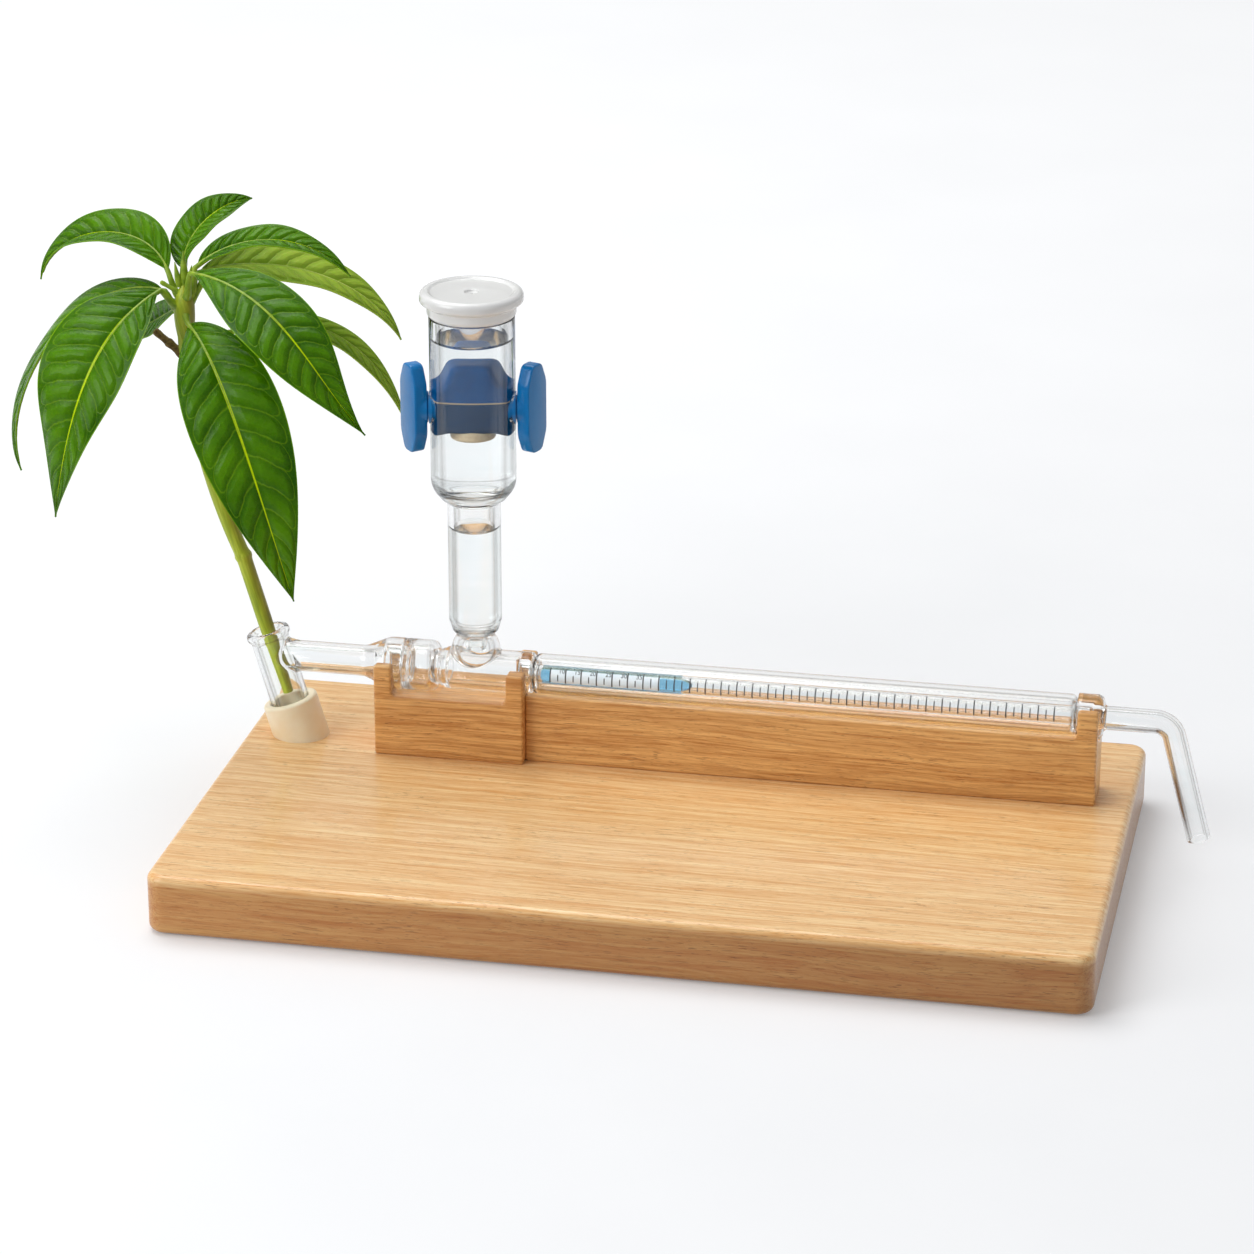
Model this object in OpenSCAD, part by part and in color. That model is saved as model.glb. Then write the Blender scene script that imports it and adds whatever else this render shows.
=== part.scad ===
// Transpiration demonstration kit: a glass potometer on a wooden board, with a leafy shoot.
// Millimetres, +Z up, X along the board, Y to the back. Origin: middle of the board's underside.

/* [Board] */
// Length of the board along X
board_l = 300; // [290:5:340]
// Depth of the board along Y
board_w = 170; // [150:5:200]
// Thickness of the board
board_t = 20; // [16:1:26]
// Radius of the board's four upright corners
board_corner_r = 6; // [4:1:12]
// Rounding of the board's top and bottom edges
board_edge_r = 2.5; // [1:0.5:3.5]

/* [Blocks] */
// Left end of the board to the left face of the cradle
cradle_inset = 47.2; // [44:0.4:52]
// Length of the cradle
cradle_l = 50.8; // [48:0.4:54]
// Depth of the cradle
cradle_w = 25; // [23:1:30]
// Height of the cradle's floor
cradle_floor_h = 21.3; // [19:0.1:23]
// Height of the cradle's two ears
cradle_ear_h = 31.5; // [29:0.5:34]
// Thickness of the cradle's two ears along X
ear_t = 5.8; // [4:0.2:7]
// Fillet between an ear and the floor beside it
ear_fillet = 1.8; // [1:0.2:3]
// Right end of the board to the right end of the rail
rail_inset = 12; // [8:1:20]
// Depth of the rail
rail_w = 17; // [16:1:22]
// Height of the rail
rail_h = 23.5; // [22:0.5:25]
// Height of the rail's right ear
rail_ear_h = 34.5; // [31:0.5:38]
// Thickness of the rail's right ear along X
rail_ear_t = 6.7; // [5.6:0.1:8]
// Softening of the blocks' upper long edges
block_soft = 0.8; // [0.4:0.2:1.5]

/* [Glass line] */
// Height of the horizontal glass line above the board
line_h = 28.2; // [27.6:0.2:30]
// Glass line to the back edge of the board
line_back = 48; // [40:1:60]
// Gap between glass and the wood that carries it
seat_gap = 0.2; // [0.1:0.05:0.3]
// Radial gap of one glass end inside another
joint_gap = 0.05; // [0.02:0.01:0.1]
// Wall of the blown glass
glass_wall = 1.5; // [1.2:0.1:1.8]

/* [Plant vessel] */
// Middle of the foot to the left face of the cradle
vessel_gap = 29; // [27:0.5:31]
// Lean of the vessel away from the upright
vessel_tilt = 16.5; // [12:0.5:18]
// Outer diameter of the vessel
vessel_od = 13; // [12.6:0.2:14]
// Height of the vessel's rim along its own axis
vessel_h = 38.4; // [37:0.2:42]
// Thickness of the vessel's wall
vessel_wall = 1.2; // [1:0.1:1.4]
// How far the rolled rim stands out
rim_bead = 0.6; // [0.4:0.1:1]
// Outer diameter of the side arm
arm_od = 10.4; // [9.6:0.2:10.8]
// Bore of the side arm
arm_bore = 7.8; // [7:0.2:8]
// Length of the flare from the arm to the bell
flare_l = 9; // [7:0.5:10]
// Outer diameter of the foot
foot_od = 18.6; // [18:0.2:21]
// Height of the foot along the vessel's axis
foot_h = 12.8; // [11:0.2:15]
// Thickness of the foot's floor under the vessel
foot_floor = 3.2; // [3:0.1:4]

/* [Tee] */
// Cradle's left face to the joint line between bell and barrel
joint_x = 8.3; // [7.6:0.1:9]
// Outer diameter of the bell and of the barrel beside it
barrel_od = 17.4; // [17:0.2:18.4]
// Length of the barrel
barrel_l = 11.2; // [10.6:0.2:12.4]
// Outer diameter of the ground plug inside the bell
plug_od = 12.9; // [12.3:0.1:13.3]
// Length of the ground plug
plug_l = 6.3; // [5.5:0.1:6.8]
// Outer diameter of the waist
waist_od = 11.6; // [11:0.2:12.4]
// Length of the waist
waist_l = 1.6; // [1.2:0.2:2.4]
// Outer diameter of the tee's run
tee_od = 14.3; // [14:0.1:14.8]
// How far the tee reaches past the cradle
tee_past = 1.2; // [0.8:0.2:2]
// Outer diameter of the ball on the tee
ball_od = 16.3; // [15.6:0.1:16.6]
// Height of the ball's middle over the glass line
ball_rise = 7.3; // [7:0.1:7.6]
// Height of the ball's flat top over the glass line
neck_rise = 12.6; // [12.2:0.1:12.9]
// Middle of the riser to the right face of the cradle
riser_x = 18.5; // [17.5:0.5:20]

/* [Reservoir] */
// Outer diameter of the spigot under the reservoir
spigot_od = 7; // [6.4:0.2:7.4]
// Length of the spigot
spigot_l = 5; // [4:0.5:6]
// Bore of the spigot
spigot_bore = 4; // [3.4:0.2:4.4]
// Outer diameter of the narrow tube
narrow_od = 17.6; // [16.8:0.2:18.4]
// Height of the narrow tube, from the neck to the shoulder
narrow_l = 47.7; // [40:1:54]
// Outer diameter of the chamber
chamber_od = 28.2; // [27.6:0.2:29.4]
// Height of the chamber
chamber_l = 63.5; // [60:0.5:70]
// Outer rounding of the chamber's shoulder
shoulder_r = 6; // [5:0.5:6.5]
// Wall of the reservoir
reservoir_wall = 1.9; // [1.6:0.1:2.1]
// Outer diameter of the stopper's flange
stopper_od = 34; // [32:0.5:37]
// Height of the stopper's flange
stopper_t = 6.2; // [5:0.2:8]
// Height of the ring under the flange
stopper_ring_t = 2.3; // [1.6:0.1:3]
// Depth of the stopper's plug inside the chamber
stopper_plug_l = 3; // [2:0.5:5]
// Depth of the dish in the stopper's top
stopper_dish = 0.5; // [0.3:0.1:0.8]
// Diameter of the vent hole
vent_d = 1.8; // [1.2:0.2:2.6]
// Diameter of the recess round the vent hole
vent_recess_d = 4.6; // [4:0.2:6]

/* [Stopcock] */
// Rim of the chamber down to the stopcock's axis
cock_drop = 31.5; // [30:0.5:34]
// Turn of the stopcock's axis away from the board's long edge
cock_turn = 10.5; // [0:0.5:14]
// Diameter of the spindle
spindle_d = 8; // [7.4:0.2:8.6]
// Radial running gap of the spindle
spindle_gap = 0.04; // [0.02:0.01:0.08]
// Bore through the spindle, the body and the seat
cock_bore = 4; // [3:0.2:4.4]
// Outer diameter of the two bushes in the chamber's wall
bush_od = 11; // [10.4:0.2:11.6]
// Depth of the body from front to back
body_w = 12; // [11.6:0.2:15]
// Height of the body over the axis
body_up = 16.2; // [14:0.2:18]
// Height of the body's shoulders over the axis
body_shoulder = 7.8; // [6.6:0.2:9]
// Width of the body's hump at its flat top
body_top_w = 10.4; // [9:0.2:12]
// Depth of the body's middle under the axis
body_down = 7; // [6.6:0.1:8]
// How far the body's ends hang below its middle
body_arch = 1.8; // [1:0.1:2.4]
// Diameter of the seat disc under the body
seat_d = 11; // [10:0.2:11.4]
// Height of the seat disc below the body
seat_t = 3; // [2:0.1:4]
// Height of each grip
grip_h = 30; // [26:0.5:34]
// Width of each grip
grip_w = 11.2; // [10:0.2:12]
// Width of each grip's narrow ends
grip_end_w = 4.4; // [3.6:0.2:6]
// Height over which each grip narrows to an end
grip_taper = 6.8; // [5:0.2:9]
// Thickness of each grip
grip_t = 4.6; // [4:0.2:5.4]
// Turn of each grip towards the front
grip_cant = 30; // [20:1:32]
// Gap between the chamber and a turning grip
grip_gap = 0.4; // [0.3:0.1:0.8]
// Rounding of each grip's rim
grip_edge = 0.5; // [0.3:0.1:0.8]

/* [Measuring tube] */
// Outer diameter of the jacket
jacket_od = 14; // [13.6:0.1:14.6]
// Thickness of the jacket's end walls
jacket_end = 1.6; // [1.3:0.1:2]
// Outer diameter of the capillary
capillary_od = 6.4; // [5.8:0.1:6.8]
// Bore of the capillary
capillary_bore = 4.2; // [3.2:0.2:4.4]
// How far the capillary reaches into the tee and the collar
capillary_in = 4; // [3:0.5:5]
// Radial gap round the dyed column
dye_gap = 0.05; // [0.03:0.01:0.08]
// Length of the dyed column
dye_l = 51; // [35:1:60]
// Left end of the jacket to the dyed column
dye_from = 2.8; // [2:0.2:6]

/* [Outlet] */
// Outer diameter of the collar
collar_od = 15; // [14.4:0.2:16]
// Length of the collar
collar_l = 8.2; // [7.6:0.2:10]
// Outer diameter of the outlet tube
outlet_od = 7.8; // [7:0.2:8.4]
// Bore of the outlet tube
outlet_bore = 5.8; // [5:0.2:6]
// Length of the straight run after the collar
outlet_run = 17; // [10:1:24]
// Radius of the bend, on the tube's middle line
outlet_bend_r = 6.5; // [5.5:0.5:9]
// Angle of the bend
outlet_bend = 75; // [60:1:85]
// Length of the leg below the bend
outlet_leg = 36.5; // [26:0.5:40]

/* [Shoot] */
// Radius of the stem at its cut end
stem_foot_r = 2.5; // [2:0.1:2.8]
// Radius of the stem at its top
stem_top_r = 2.7; // [2.2:0.1:3]
// Height of the stem's cut end over the middle of the vessel's floor
stem_clear = 9.5; // [7:0.5:14]
// Height of the ring where a leaf once grew
node_h = 64.5; // [58:0.5:72]
// How far that ring swells
node_swell = 0.45; // [0.2:0.05:0.7]
// Height of the stem's top along the vessel's axis
stem_h = 159.2; // [152:0.2:168]
// Sideways reach of the stem at its top
stem_bend = 10.2; // [6:0.2:14]
// How strongly the stem first leans back above the ring
stem_sway = 12.4; // [0:0.2:14]
// Radius of the swollen head that carries the leaves
head_r = 3.5; // [3:0.1:3.9]
// Length of the swollen head
head_l = 17; // [14:0.5:20]
// Gap between the stem and the wall that it leans on
stem_gap = 0.3; // [0.2:0.05:0.6]
// Thickness of a leaf at its edge
leaf_edge = 0.5; // [0.4:0.1:0.8]
// Thickness of a leaf at its midrib
leaf_rib = 1.3; // [1:0.1:1.8]
// Radius of a leaf stalk
stalk_r = 1.1; // [0.8:0.1:1.3]
// Gap between a leaf stalk and the head it grows from
stalk_gap = 0.3; // [0.2:0.05:0.6]

/* [Screws] */
// Diameter of a screw's shank
screw_d = 3.8; // [3:0.2:4.4]
// Length of a screw
screw_l = 32; // [26:1:34]
// Diameter of a screw's head
screw_head_d = 7.6; // [6.6:0.2:9]
// Depth of a screw's head below the board's underside
screw_sunk = 0.4; // [0.2:0.1:1]

/* [Hidden] */
$fn = 64;
eps = 0.01;
far = 400;

wood = [0.80, 0.60, 0.38];
glass = [0.80, 0.90, 0.95, 0.5];
blue = [0.08, 0.38, 0.66];
cream = [0.94, 0.90, 0.79];
leaf_green = [0.22, 0.52, 0.12];
stem_green = [0.62, 0.66, 0.22];

// Places along X and Z that several pieces share.
line_y = board_w / 2 - line_back;
line_z = board_t + line_h;
cradle_x = -board_l / 2 + cradle_inset;
cradle_end = cradle_x + cradle_l;
rail_end = board_l / 2 - rail_inset;
ear_x = rail_end - rail_ear_t;
vessel_x = cradle_x - vessel_gap;
joint_line = cradle_x + joint_x;
barrel_end = joint_line + barrel_l;
run_start = barrel_end + waist_l;
run_end = cradle_end + tee_past;
riser = cradle_end - riser_x;
neck_z = line_z + neck_rise;
shoulder_z = neck_z + narrow_l;
rim_z = shoulder_z + chamber_l;
cock_z = rim_z - cock_drop;
jacket_x = run_end;
jacket_stop = ear_x - 0.6;
chamber_r = chamber_od / 2;
chamber_bore_r = chamber_r - reservoir_wall;
spindle_r = spindle_d / 2;
// A canted grip's inner corner clears the chamber at every turn of the key.
grip_reach = grip_t / 2 * cos(grip_cant) + grip_w / 2 * sin(grip_cant);
grip_x = chamber_r + grip_gap + grip_reach;

// A half profile (x is the radius) of a round body with a rounded lower corner.
module round_end(r, z0, z1, rc) {
  union() {
    translate([0, z0 + rc]) square([r, z1 - z0 - rc]);
    translate([0, z0]) square([r - rc, z1 - z0]);
    intersection() {
      translate([r - rc, z0 + rc]) circle(rc);
      translate([0, z0]) square([r, 2 * rc]);
    }
  }
}

// The same, with both outer corners rounded.
module round_both(r, z0, z1, rc) {
  union() {
    translate([0, z0 + rc]) square([r, z1 - z0 - 2 * rc]);
    translate([0, z0]) square([r - rc, z1 - z0]);
    for (z = [z0 + rc, z1 - rc]) intersection() {
      translate([r - rc, z]) circle(rc);
      translate([0, z - rc]) square([r, 2 * rc]);
    }
  }
}

// Turns a body made along Z so that it lies along X on the glass line.
module on_line() { translate([0, line_y, line_z]) rotate([0, 90, 0]) children(); }

// The vessel's own frame: origin on the board, Z along the leaning axis.
module in_vessel() { translate([vessel_x, line_y, board_t]) rotate([0, -vessel_tilt, 0]) children(); }

// The stopcock's frame: X along the spindle.
module in_cock() { translate([riser, line_y, cock_z]) rotate([0, 0, cock_turn]) children(); }

// A rounded rectangle in 2D.
module soft_rect(a, b, r) {
  union() {
    translate([-a / 2 + r, -b / 2]) square([a - 2 * r, b]);
    translate([-a / 2, -b / 2 + r]) square([a, b - 2 * r]);
    for (x = [-1, 1], y = [-1, 1]) translate([x * (a / 2 - r), y * (b / 2 - r)]) circle(r);
  }
}

// A polygon, listed counterclockwise, whose corner k is rounded by r[k]: an outward corner
// by a circle that is added, an inward one by a circle that is taken away.
module rounded(p, r) {
  n = len(p);
  corner = [for (k = [0:n - 1]) let (a = unit(p[(k + n - 1) % n] - p[k]), b = unit(p[(k + 1) % n] - p[k]),
      half = acos(a * b) / 2) [p[k] + a * r[k] / tan(half), p[k] + b * r[k] / tan(half),
      p[k] + unit(a + b) * r[k] / sin(half), cross(a, b) < 0 ? 1 : 0]];
  difference() {
    union() {
      polygon([for (c = corner) for (q = [c[0], c[1]]) q]);
      for (k = [0:n - 1]) if (corner[k][3] == 1) translate(corner[k][2]) circle(r[k]);
    }
    for (k = [0:n - 1]) if (corner[k][3] == 0) translate(corner[k][2]) circle(r[k]);
  }
}
function unit(v) = v / norm(v);

// A half profile that swells from radius r0 to r1 over a length, in two arcs.
module flare(r0, r1, z0, len) {
  arc = (len * len + (r1 - r0) * (r1 - r0)) / (4 * (r1 - r0));
  mid = (r0 + r1) / 2;
  union() {
    translate([0, z0]) square([r0, len]);
    difference() {
      translate([0, z0]) square([mid, len / 2 + eps]);
      translate([r0 + arc, z0]) circle(arc);
    }
    intersection() {
      translate([0, z0 + len / 2]) square([r1, len / 2]);
      translate([r1 - arc, z0 + len]) circle(arc);
    }
  }
}

/* Wood */

// Screws stand under the two blocks, in pairs and threes along the line.
cradle_screw_x = [for (s = [0.25, 0.75]) cradle_x + s * cradle_l];
rail_screw_x = [for (s = [0.12, 0.5, 0.88]) cradle_end + s * (rail_end - cradle_end)];
screw_xs = concat(cradle_screw_x, rail_screw_x);
screw_head_h = (screw_head_d - screw_d) / 2;

module screw_hole() {
  translate([0, 0, -eps]) cylinder(h = screw_sunk + screw_l + 2 * eps, r = screw_d / 2 + 0.05);
  translate([0, 0, -eps]) cylinder(h = screw_sunk + eps, r = screw_head_d / 2 + 0.05);
  translate([0, 0, screw_sunk - eps])
    cylinder(h = screw_head_h + eps, r1 = screw_head_d / 2 + 0.05, r2 = screw_d / 2 + 0.05);
}

module screw_holes() { for (x = screw_xs) translate([x, line_y, 0]) screw_hole(); }

module base_board() color(wood) difference() {
  union() {
    // The long and the short slab cross, and a round-edged disc fills each corner.
    rotate([90, 0, 90]) translate([0, board_t / 2, -board_l / 2 + board_corner_r])
      linear_extrude(board_l - 2 * board_corner_r) soft_rect(board_w, board_t, board_edge_r);
    rotate([90, 0, 0]) translate([0, board_t / 2, -board_w / 2 + board_corner_r])
      linear_extrude(board_w - 2 * board_corner_r) soft_rect(board_l, board_t, board_edge_r);
    for (x = [-1, 1], y = [-1, 1])
      translate([x * (board_l / 2 - board_corner_r), y * (board_w / 2 - board_corner_r), 0])
        rotate_extrude() round_both(board_corner_r, 0, board_t, board_edge_r);
  }
  screw_holes();
}

// A channel along X: round below the glass line and straight up above it.
module channel(x0, x1, r) {
  translate([x0, line_y, line_z]) rotate([0, 90, 0]) cylinder(h = x1 - x0, r = r);
  translate([x0, line_y - r, line_z]) cube([x1 - x0, 2 * r, far / 4]);
}

// The side outline of a block, from its left end: ears and a floor with fillets.
module block_side(len, floor_h, left_h, right_h, right_t) {
  difference() {
    union() {
      square([len, floor_h]);
      if (left_h > floor_h) square([ear_t, left_h]);
      translate([len - right_t, 0]) square([right_t, right_h]);
      if (left_h > floor_h) translate([ear_t, floor_h - eps]) square([ear_fillet, ear_fillet + eps]);
      translate([len - right_t - ear_fillet, floor_h - eps]) square([ear_fillet, ear_fillet + eps]);
    }
    if (left_h > floor_h) translate([ear_t + ear_fillet, floor_h + ear_fillet]) circle(ear_fillet);
    translate([len - right_t - ear_fillet, floor_h + ear_fillet]) circle(ear_fillet);
  }
}

// Cuts the square upper edges of a block's floor back to a small bevel.
module edge_soft(x0, x1, w, z) {
  for (s = [-1, 1]) translate([x0, line_y + s * w / 2, z]) rotate([45, 0, 0])
    translate([0, -block_soft / sqrt(2), -block_soft / sqrt(2)])
      cube([x1 - x0, block_soft * sqrt(2), block_soft * sqrt(2)]);
}

module cradle_block() color(wood) difference() {
  translate([cradle_x, line_y + cradle_w / 2, board_t]) rotate([90, 0, 0])
    linear_extrude(cradle_w) block_side(cradle_l, cradle_floor_h, cradle_ear_h, cradle_ear_h, ear_t);
  channel(cradle_x - 1, run_start, barrel_od / 2 + seat_gap);
  channel(run_start - 1, cradle_end + 1, tee_od / 2 + seat_gap);
  edge_soft(cradle_x + ear_t + ear_fillet, cradle_end - ear_t - ear_fillet, cradle_w,
    board_t + cradle_floor_h);
  screw_holes();
}

rail_l = rail_end - cradle_end;
module scale_rail() color(wood) difference() {
  translate([cradle_end, line_y + rail_w / 2, board_t]) rotate([90, 0, 0])
    linear_extrude(rail_w) block_side(rail_l, rail_h, 0, rail_ear_h, rail_ear_t);
  channel(cradle_end - 1, run_end, tee_od / 2 + seat_gap);
  channel(cradle_end - 1, ear_x, jacket_od / 2 + seat_gap);
  channel(ear_x - 1, rail_end + 1, collar_od / 2 + seat_gap);
  edge_soft(cradle_end - 1, rail_end - rail_ear_t - ear_fillet, rail_w, board_t + rail_h);
  screw_holes();
}

module block_screws() color([0.75, 0.75, 0.77]) for (x = screw_xs)
  translate([x, line_y, screw_sunk]) difference() {
    union() {
      cylinder(h = screw_l - 2, r = screw_d / 2);
      translate([0, 0, screw_l - 2]) cylinder(h = 2, r1 = screw_d / 2, r2 = 0.4);
      cylinder(h = screw_head_h, r1 = screw_head_d / 2, r2 = screw_d / 2);
    }
    for (a = [0, 90]) rotate([0, 0, a]) translate([-2, -0.5, -eps]) cube([4, 1, 1.6]);
  }

/* Plant vessel and foot */

vessel_r = vessel_od / 2;
vessel_floor = foot_floor + 0.1;

module vessel_foot() color(cream) difference() {
  in_vessel() rotate_extrude() difference() {
    mirror([0, 1]) round_end(foot_od / 2, -foot_h, foot_od / 3, 1);
    translate([0, foot_floor]) square([vessel_r + 0.1, foot_h]);
  }
  translate([vessel_x - far / 8, line_y - far / 8, board_t - far / 4]) cube([far / 4, far / 4, far / 4]);
}

// The arm leaves the vessel level, so its length depends on the lean.
arm_start = vessel_x - line_h * tan(vessel_tilt);
bell_x = joint_line - plug_l - 0.2;
bell_wall = 1.2;
bell_taper = 3;
flare_end = bell_x + bell_wall;
flare_start = flare_end - flare_l;
barrel_r = barrel_od / 2;
arm_r = arm_od / 2;
vessel_bore_r = vessel_r - vessel_wall;
vessel_bottom = 1.6;
swell_r = 1;

module arm_outer() on_line() rotate_extrude() {
  translate([0, arm_start]) square([arm_r, flare_start - arm_start + eps]);
  flare(arm_r, barrel_r, flare_start, flare_l);
  translate([0, flare_end]) square([barrel_r, joint_line - flare_end]);
}

module arm_inner() on_line() rotate_extrude() polygon([[0, arm_start], [arm_bore / 2, arm_start],
  [arm_bore / 2, bell_x - bell_taper], [plug_od / 2 + joint_gap, bell_x],
  [plug_od / 2 + joint_gap, joint_line + eps], [0, joint_line + eps]]);

module vessel_outer() in_vessel() rotate_extrude() {
  round_end(vessel_r, vessel_floor, vessel_h - rim_bead, vessel_r - 2);
  translate([vessel_r - vessel_wall / 2, vessel_h - rim_bead - vessel_wall / 2])
    circle(rim_bead + vessel_wall / 2);
}

module plant_vessel() color(glass) difference() {
  vessel_outer();
  in_vessel() rotate_extrude() round_end(vessel_bore_r, vessel_floor + vessel_bottom,
    vessel_h + 2, vessel_bore_r - 1.6);
  arm_inner();
}

// The side arm is a tube of its own, sealed to the vessel in the flame.
module side_arm() color(glass) difference() {
  union() {
    arm_outer();
    // The blown swelling where the arm meets the vessel.
    on_line() translate([0, 0, arm_start])
      cylinder(h = 1.5 * vessel_r, r1 = arm_r + swell_r, r2 = arm_r - 0.1);
  }
  in_vessel() cylinder(h = vessel_h, r = vessel_r);
  // What the cut leaves beyond the vessel goes too.
  in_vessel() translate([-vessel_r - far / 8, -far / 8, 0]) cube([vessel_r + far / 8, far / 4, vessel_h]);
  arm_inner();
}

/* Tee */

barrel_corner = 3;
run_corner = 2.8;
barrel_bore_r = barrel_r - 2;
waist_bore_r = waist_od / 2 - 2;
plug_bore_r = plug_od / 2 - 2.4;
run_bore_r = tee_od / 2 - glass_wall - 0.3;
run_bore_x = run_start + glass_wall + 0.6;
ball_wall = 2.2;

module tee_outer_2d() {
  translate([0, joint_line - plug_l]) square([plug_od / 2, plug_l + 1]);
  mirror([0, 1]) round_end(barrel_r, -barrel_end, -joint_line, barrel_corner);
  translate([0, barrel_end - 1]) square([waist_od / 2, waist_l + 2]);
  round_end(tee_od / 2, run_start, run_end, run_corner);
}

module tee_inner_2d() {
  translate([0, joint_line - plug_l - eps]) square([plug_bore_r, plug_l + glass_wall + 2 * eps]);
  translate([0, joint_line + glass_wall]) square([barrel_bore_r, barrel_l - 2 * glass_wall - 0.5]);
  translate([0, barrel_end - 2 * glass_wall]) square([waist_bore_r, waist_l + 4 * glass_wall]);
  translate([0, run_bore_x]) square([run_bore_r, run_end - run_bore_x - capillary_in - eps]);
  translate([0, run_end - capillary_in - 1]) square([capillary_od / 2 + joint_gap, capillary_in + 2]);
}

// A ball on the riser, cut flat at a height over the glass line.
module riser_ball(r, top) intersection() {
  translate([riser, line_y, line_z + ball_rise]) sphere(r);
  translate([riser - far / 8, line_y - far / 8, line_z]) cube([far / 4, far / 4, top]);
}

module riser_bore() translate([riser, line_y, line_z])
  cylinder(h = neck_rise + 1, r = spigot_od / 2 + joint_gap);

module tee_tube() color(glass) difference() {
  on_line() rotate_extrude() tee_outer_2d();
  on_line() rotate_extrude() tee_inner_2d();
  riser_bore();
}

// The ball is a blown bulb of its own, sealed to the run in the flame.
module ball_joint() color(glass) difference() {
  riser_ball(ball_od / 2, neck_rise);
  on_line() translate([0, 0, run_start]) cylinder(h = run_end - run_start, r = tee_od / 2);
  riser_ball(ball_od / 2 - ball_wall, neck_rise - 2);
  riser_bore();
}

/* Reservoir, stopper and stopcock */

tube_r = narrow_od / 2;
tube_corner = 6.4;
tube_bottom = 2.2;
tube_bore_r = tube_r - reservoir_wall;
tube_bore_corner = 4.5;

// The narrow tube with its thick round bottom and the spigot.
module reservoir_tube() color(glass) translate([riser, line_y, 0]) rotate_extrude() difference() {
  union() {
    intersection() {
      round_end(tube_r, neck_z - 0.55, shoulder_z, tube_corner);
      translate([0, neck_z]) square([tube_r, narrow_l]);
    }
    translate([0, neck_z - spigot_l]) square([spigot_od / 2, spigot_l + 1]);
  }
  round_end(tube_bore_r, neck_z + tube_bottom, shoulder_z + 1, tube_bore_corner);
  translate([0, neck_z - spigot_l - eps]) square([spigot_bore / 2, spigot_l + tube_bottom + 1]);
}

// The chamber is a wider tube, sealed to the narrow one at the shoulder.
module reservoir_chamber() color(glass) difference() {
  translate([riser, line_y, 0]) rotate_extrude() difference() {
    round_end(chamber_r, shoulder_z, rim_z, shoulder_r);
    translate([0, shoulder_z - 1]) square([tube_bore_r, shoulder_r]);
    round_end(chamber_bore_r, shoulder_z + reservoir_wall, rim_z + 1, shoulder_r - 1.4);
  }
  in_cock() rotate([0, 90, 0]) translate([0, 0, -chamber_r - 1])
    cylinder(h = chamber_od + 2, r = bush_od / 2);
}

stopper_r = stopper_od / 2;
stopper_edge = 2.4;
dish_slope = 0.6;
dish_r = stopper_r - 3;
module reservoir_stopper() color([0.93, 0.94, 0.94]) translate([riser, line_y, rim_z]) difference() {
  rotate_extrude() {
    translate([0, stopper_ring_t]) round_both(stopper_r, 0, stopper_t, stopper_edge);
    polygon([[0, 0], [chamber_r + 0.1, 0], [chamber_r + 1.1, stopper_ring_t + 0.4],
      [0, stopper_ring_t + 0.4]]);
    translate([0, -stopper_plug_l]) square([chamber_bore_r - 0.25, stopper_plug_l + 1]);
  }
  translate([0, 0, stopper_ring_t + stopper_t - stopper_dish])
    cylinder(h = 1, r1 = dish_r - dish_slope, r2 = dish_r);
  translate([0, 0, stopper_ring_t + stopper_t - stopper_dish - 1]) cylinder(h = 2, r = vent_recess_d / 2);
  translate([0, 0, -stopper_plug_l - 1]) cylinder(h = far / 8, r = vent_d / 2);
}

body_end = chamber_bore_r - 0.3;
bush_r = bush_od / 2 - 0.05;

// The body's front outline: a flat-topped hump between two shoulders, over an arched underside.
hump = body_top_w / 2;
hump_spread = 2.6;
body_round = 3.6;
groove_up = 3.4;
groove_w = 0.5;
groove_in = 0.35;
module body_side() rounded([[-body_end, -body_down - body_arch], [-seat_d / 2, -body_down],
  [seat_d / 2, -body_down], [body_end, -body_down - body_arch], [body_end, body_shoulder],
  [hump + hump_spread, body_shoulder + 1], [hump, body_up], [-hump, body_up],
  [-hump - hump_spread, body_shoulder + 1], [-body_end, body_shoulder]],
  [0.4, 3, 3, 0.4, 0.8, 2.4, 2.2, 2.2, 2.4, 0.8]);

module valve_body() color(blue) in_cock() difference() {
  intersection() {
    translate([0, body_w / 2, 0]) rotate([90, 0, 0]) linear_extrude(body_w) body_side();
    // Front and back, the top edge is well rounded.
    rotate([90, 0, 90]) translate([0, 0, -far / 8]) linear_extrude(far / 4)
      mirror([0, 1]) translate([0, -body_up]) rounded([[-body_w / 2, 0], [body_w / 2, 0],
        [body_w / 2, far / 8], [-body_w / 2, far / 8]], [body_round, body_round, 0.5, 0.5]);
    translate([0, 0, -far / 8]) cylinder(h = far / 4, r = body_end);
  }
  translate([-chamber_r, 0, 0]) rotate([0, 90, 0]) cylinder(h = chamber_od, r = spindle_r + spindle_gap);
  translate([0, 0, -far / 8]) cylinder(h = far / 4, r = cock_bore / 2);
  translate([0, 0, -body_down - far / 8]) cylinder(h = far / 8 + seat_in, r = seat_d / 2 + 0.05);
  // The bushes' inner ends stand in the body.
  for (s = [-1, 1]) translate([s * (chamber_bore_r + 1), 0, 0]) rotate([0, 90, 0])
    translate([0, 0, -2.6]) cylinder(h = 5.2, r = bush_od / 2);
  // The parting groove across the front.
  translate([-far / 8, -body_w / 2 - 1, groove_up]) cube([far / 4, 1 + groove_in, groove_w]);
}

// The seat disc is let a little way into the body's underside.
seat_in = 0.8;
module valve_seat() color([0.86, 0.74, 0.56]) in_cock() rotate_extrude() difference() {
  round_end(seat_d / 2, -body_down - seat_t, -body_down + seat_in, 1.2);
  translate([0, -far / 8]) square([cock_bore / 2, far / 4]);
}

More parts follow.
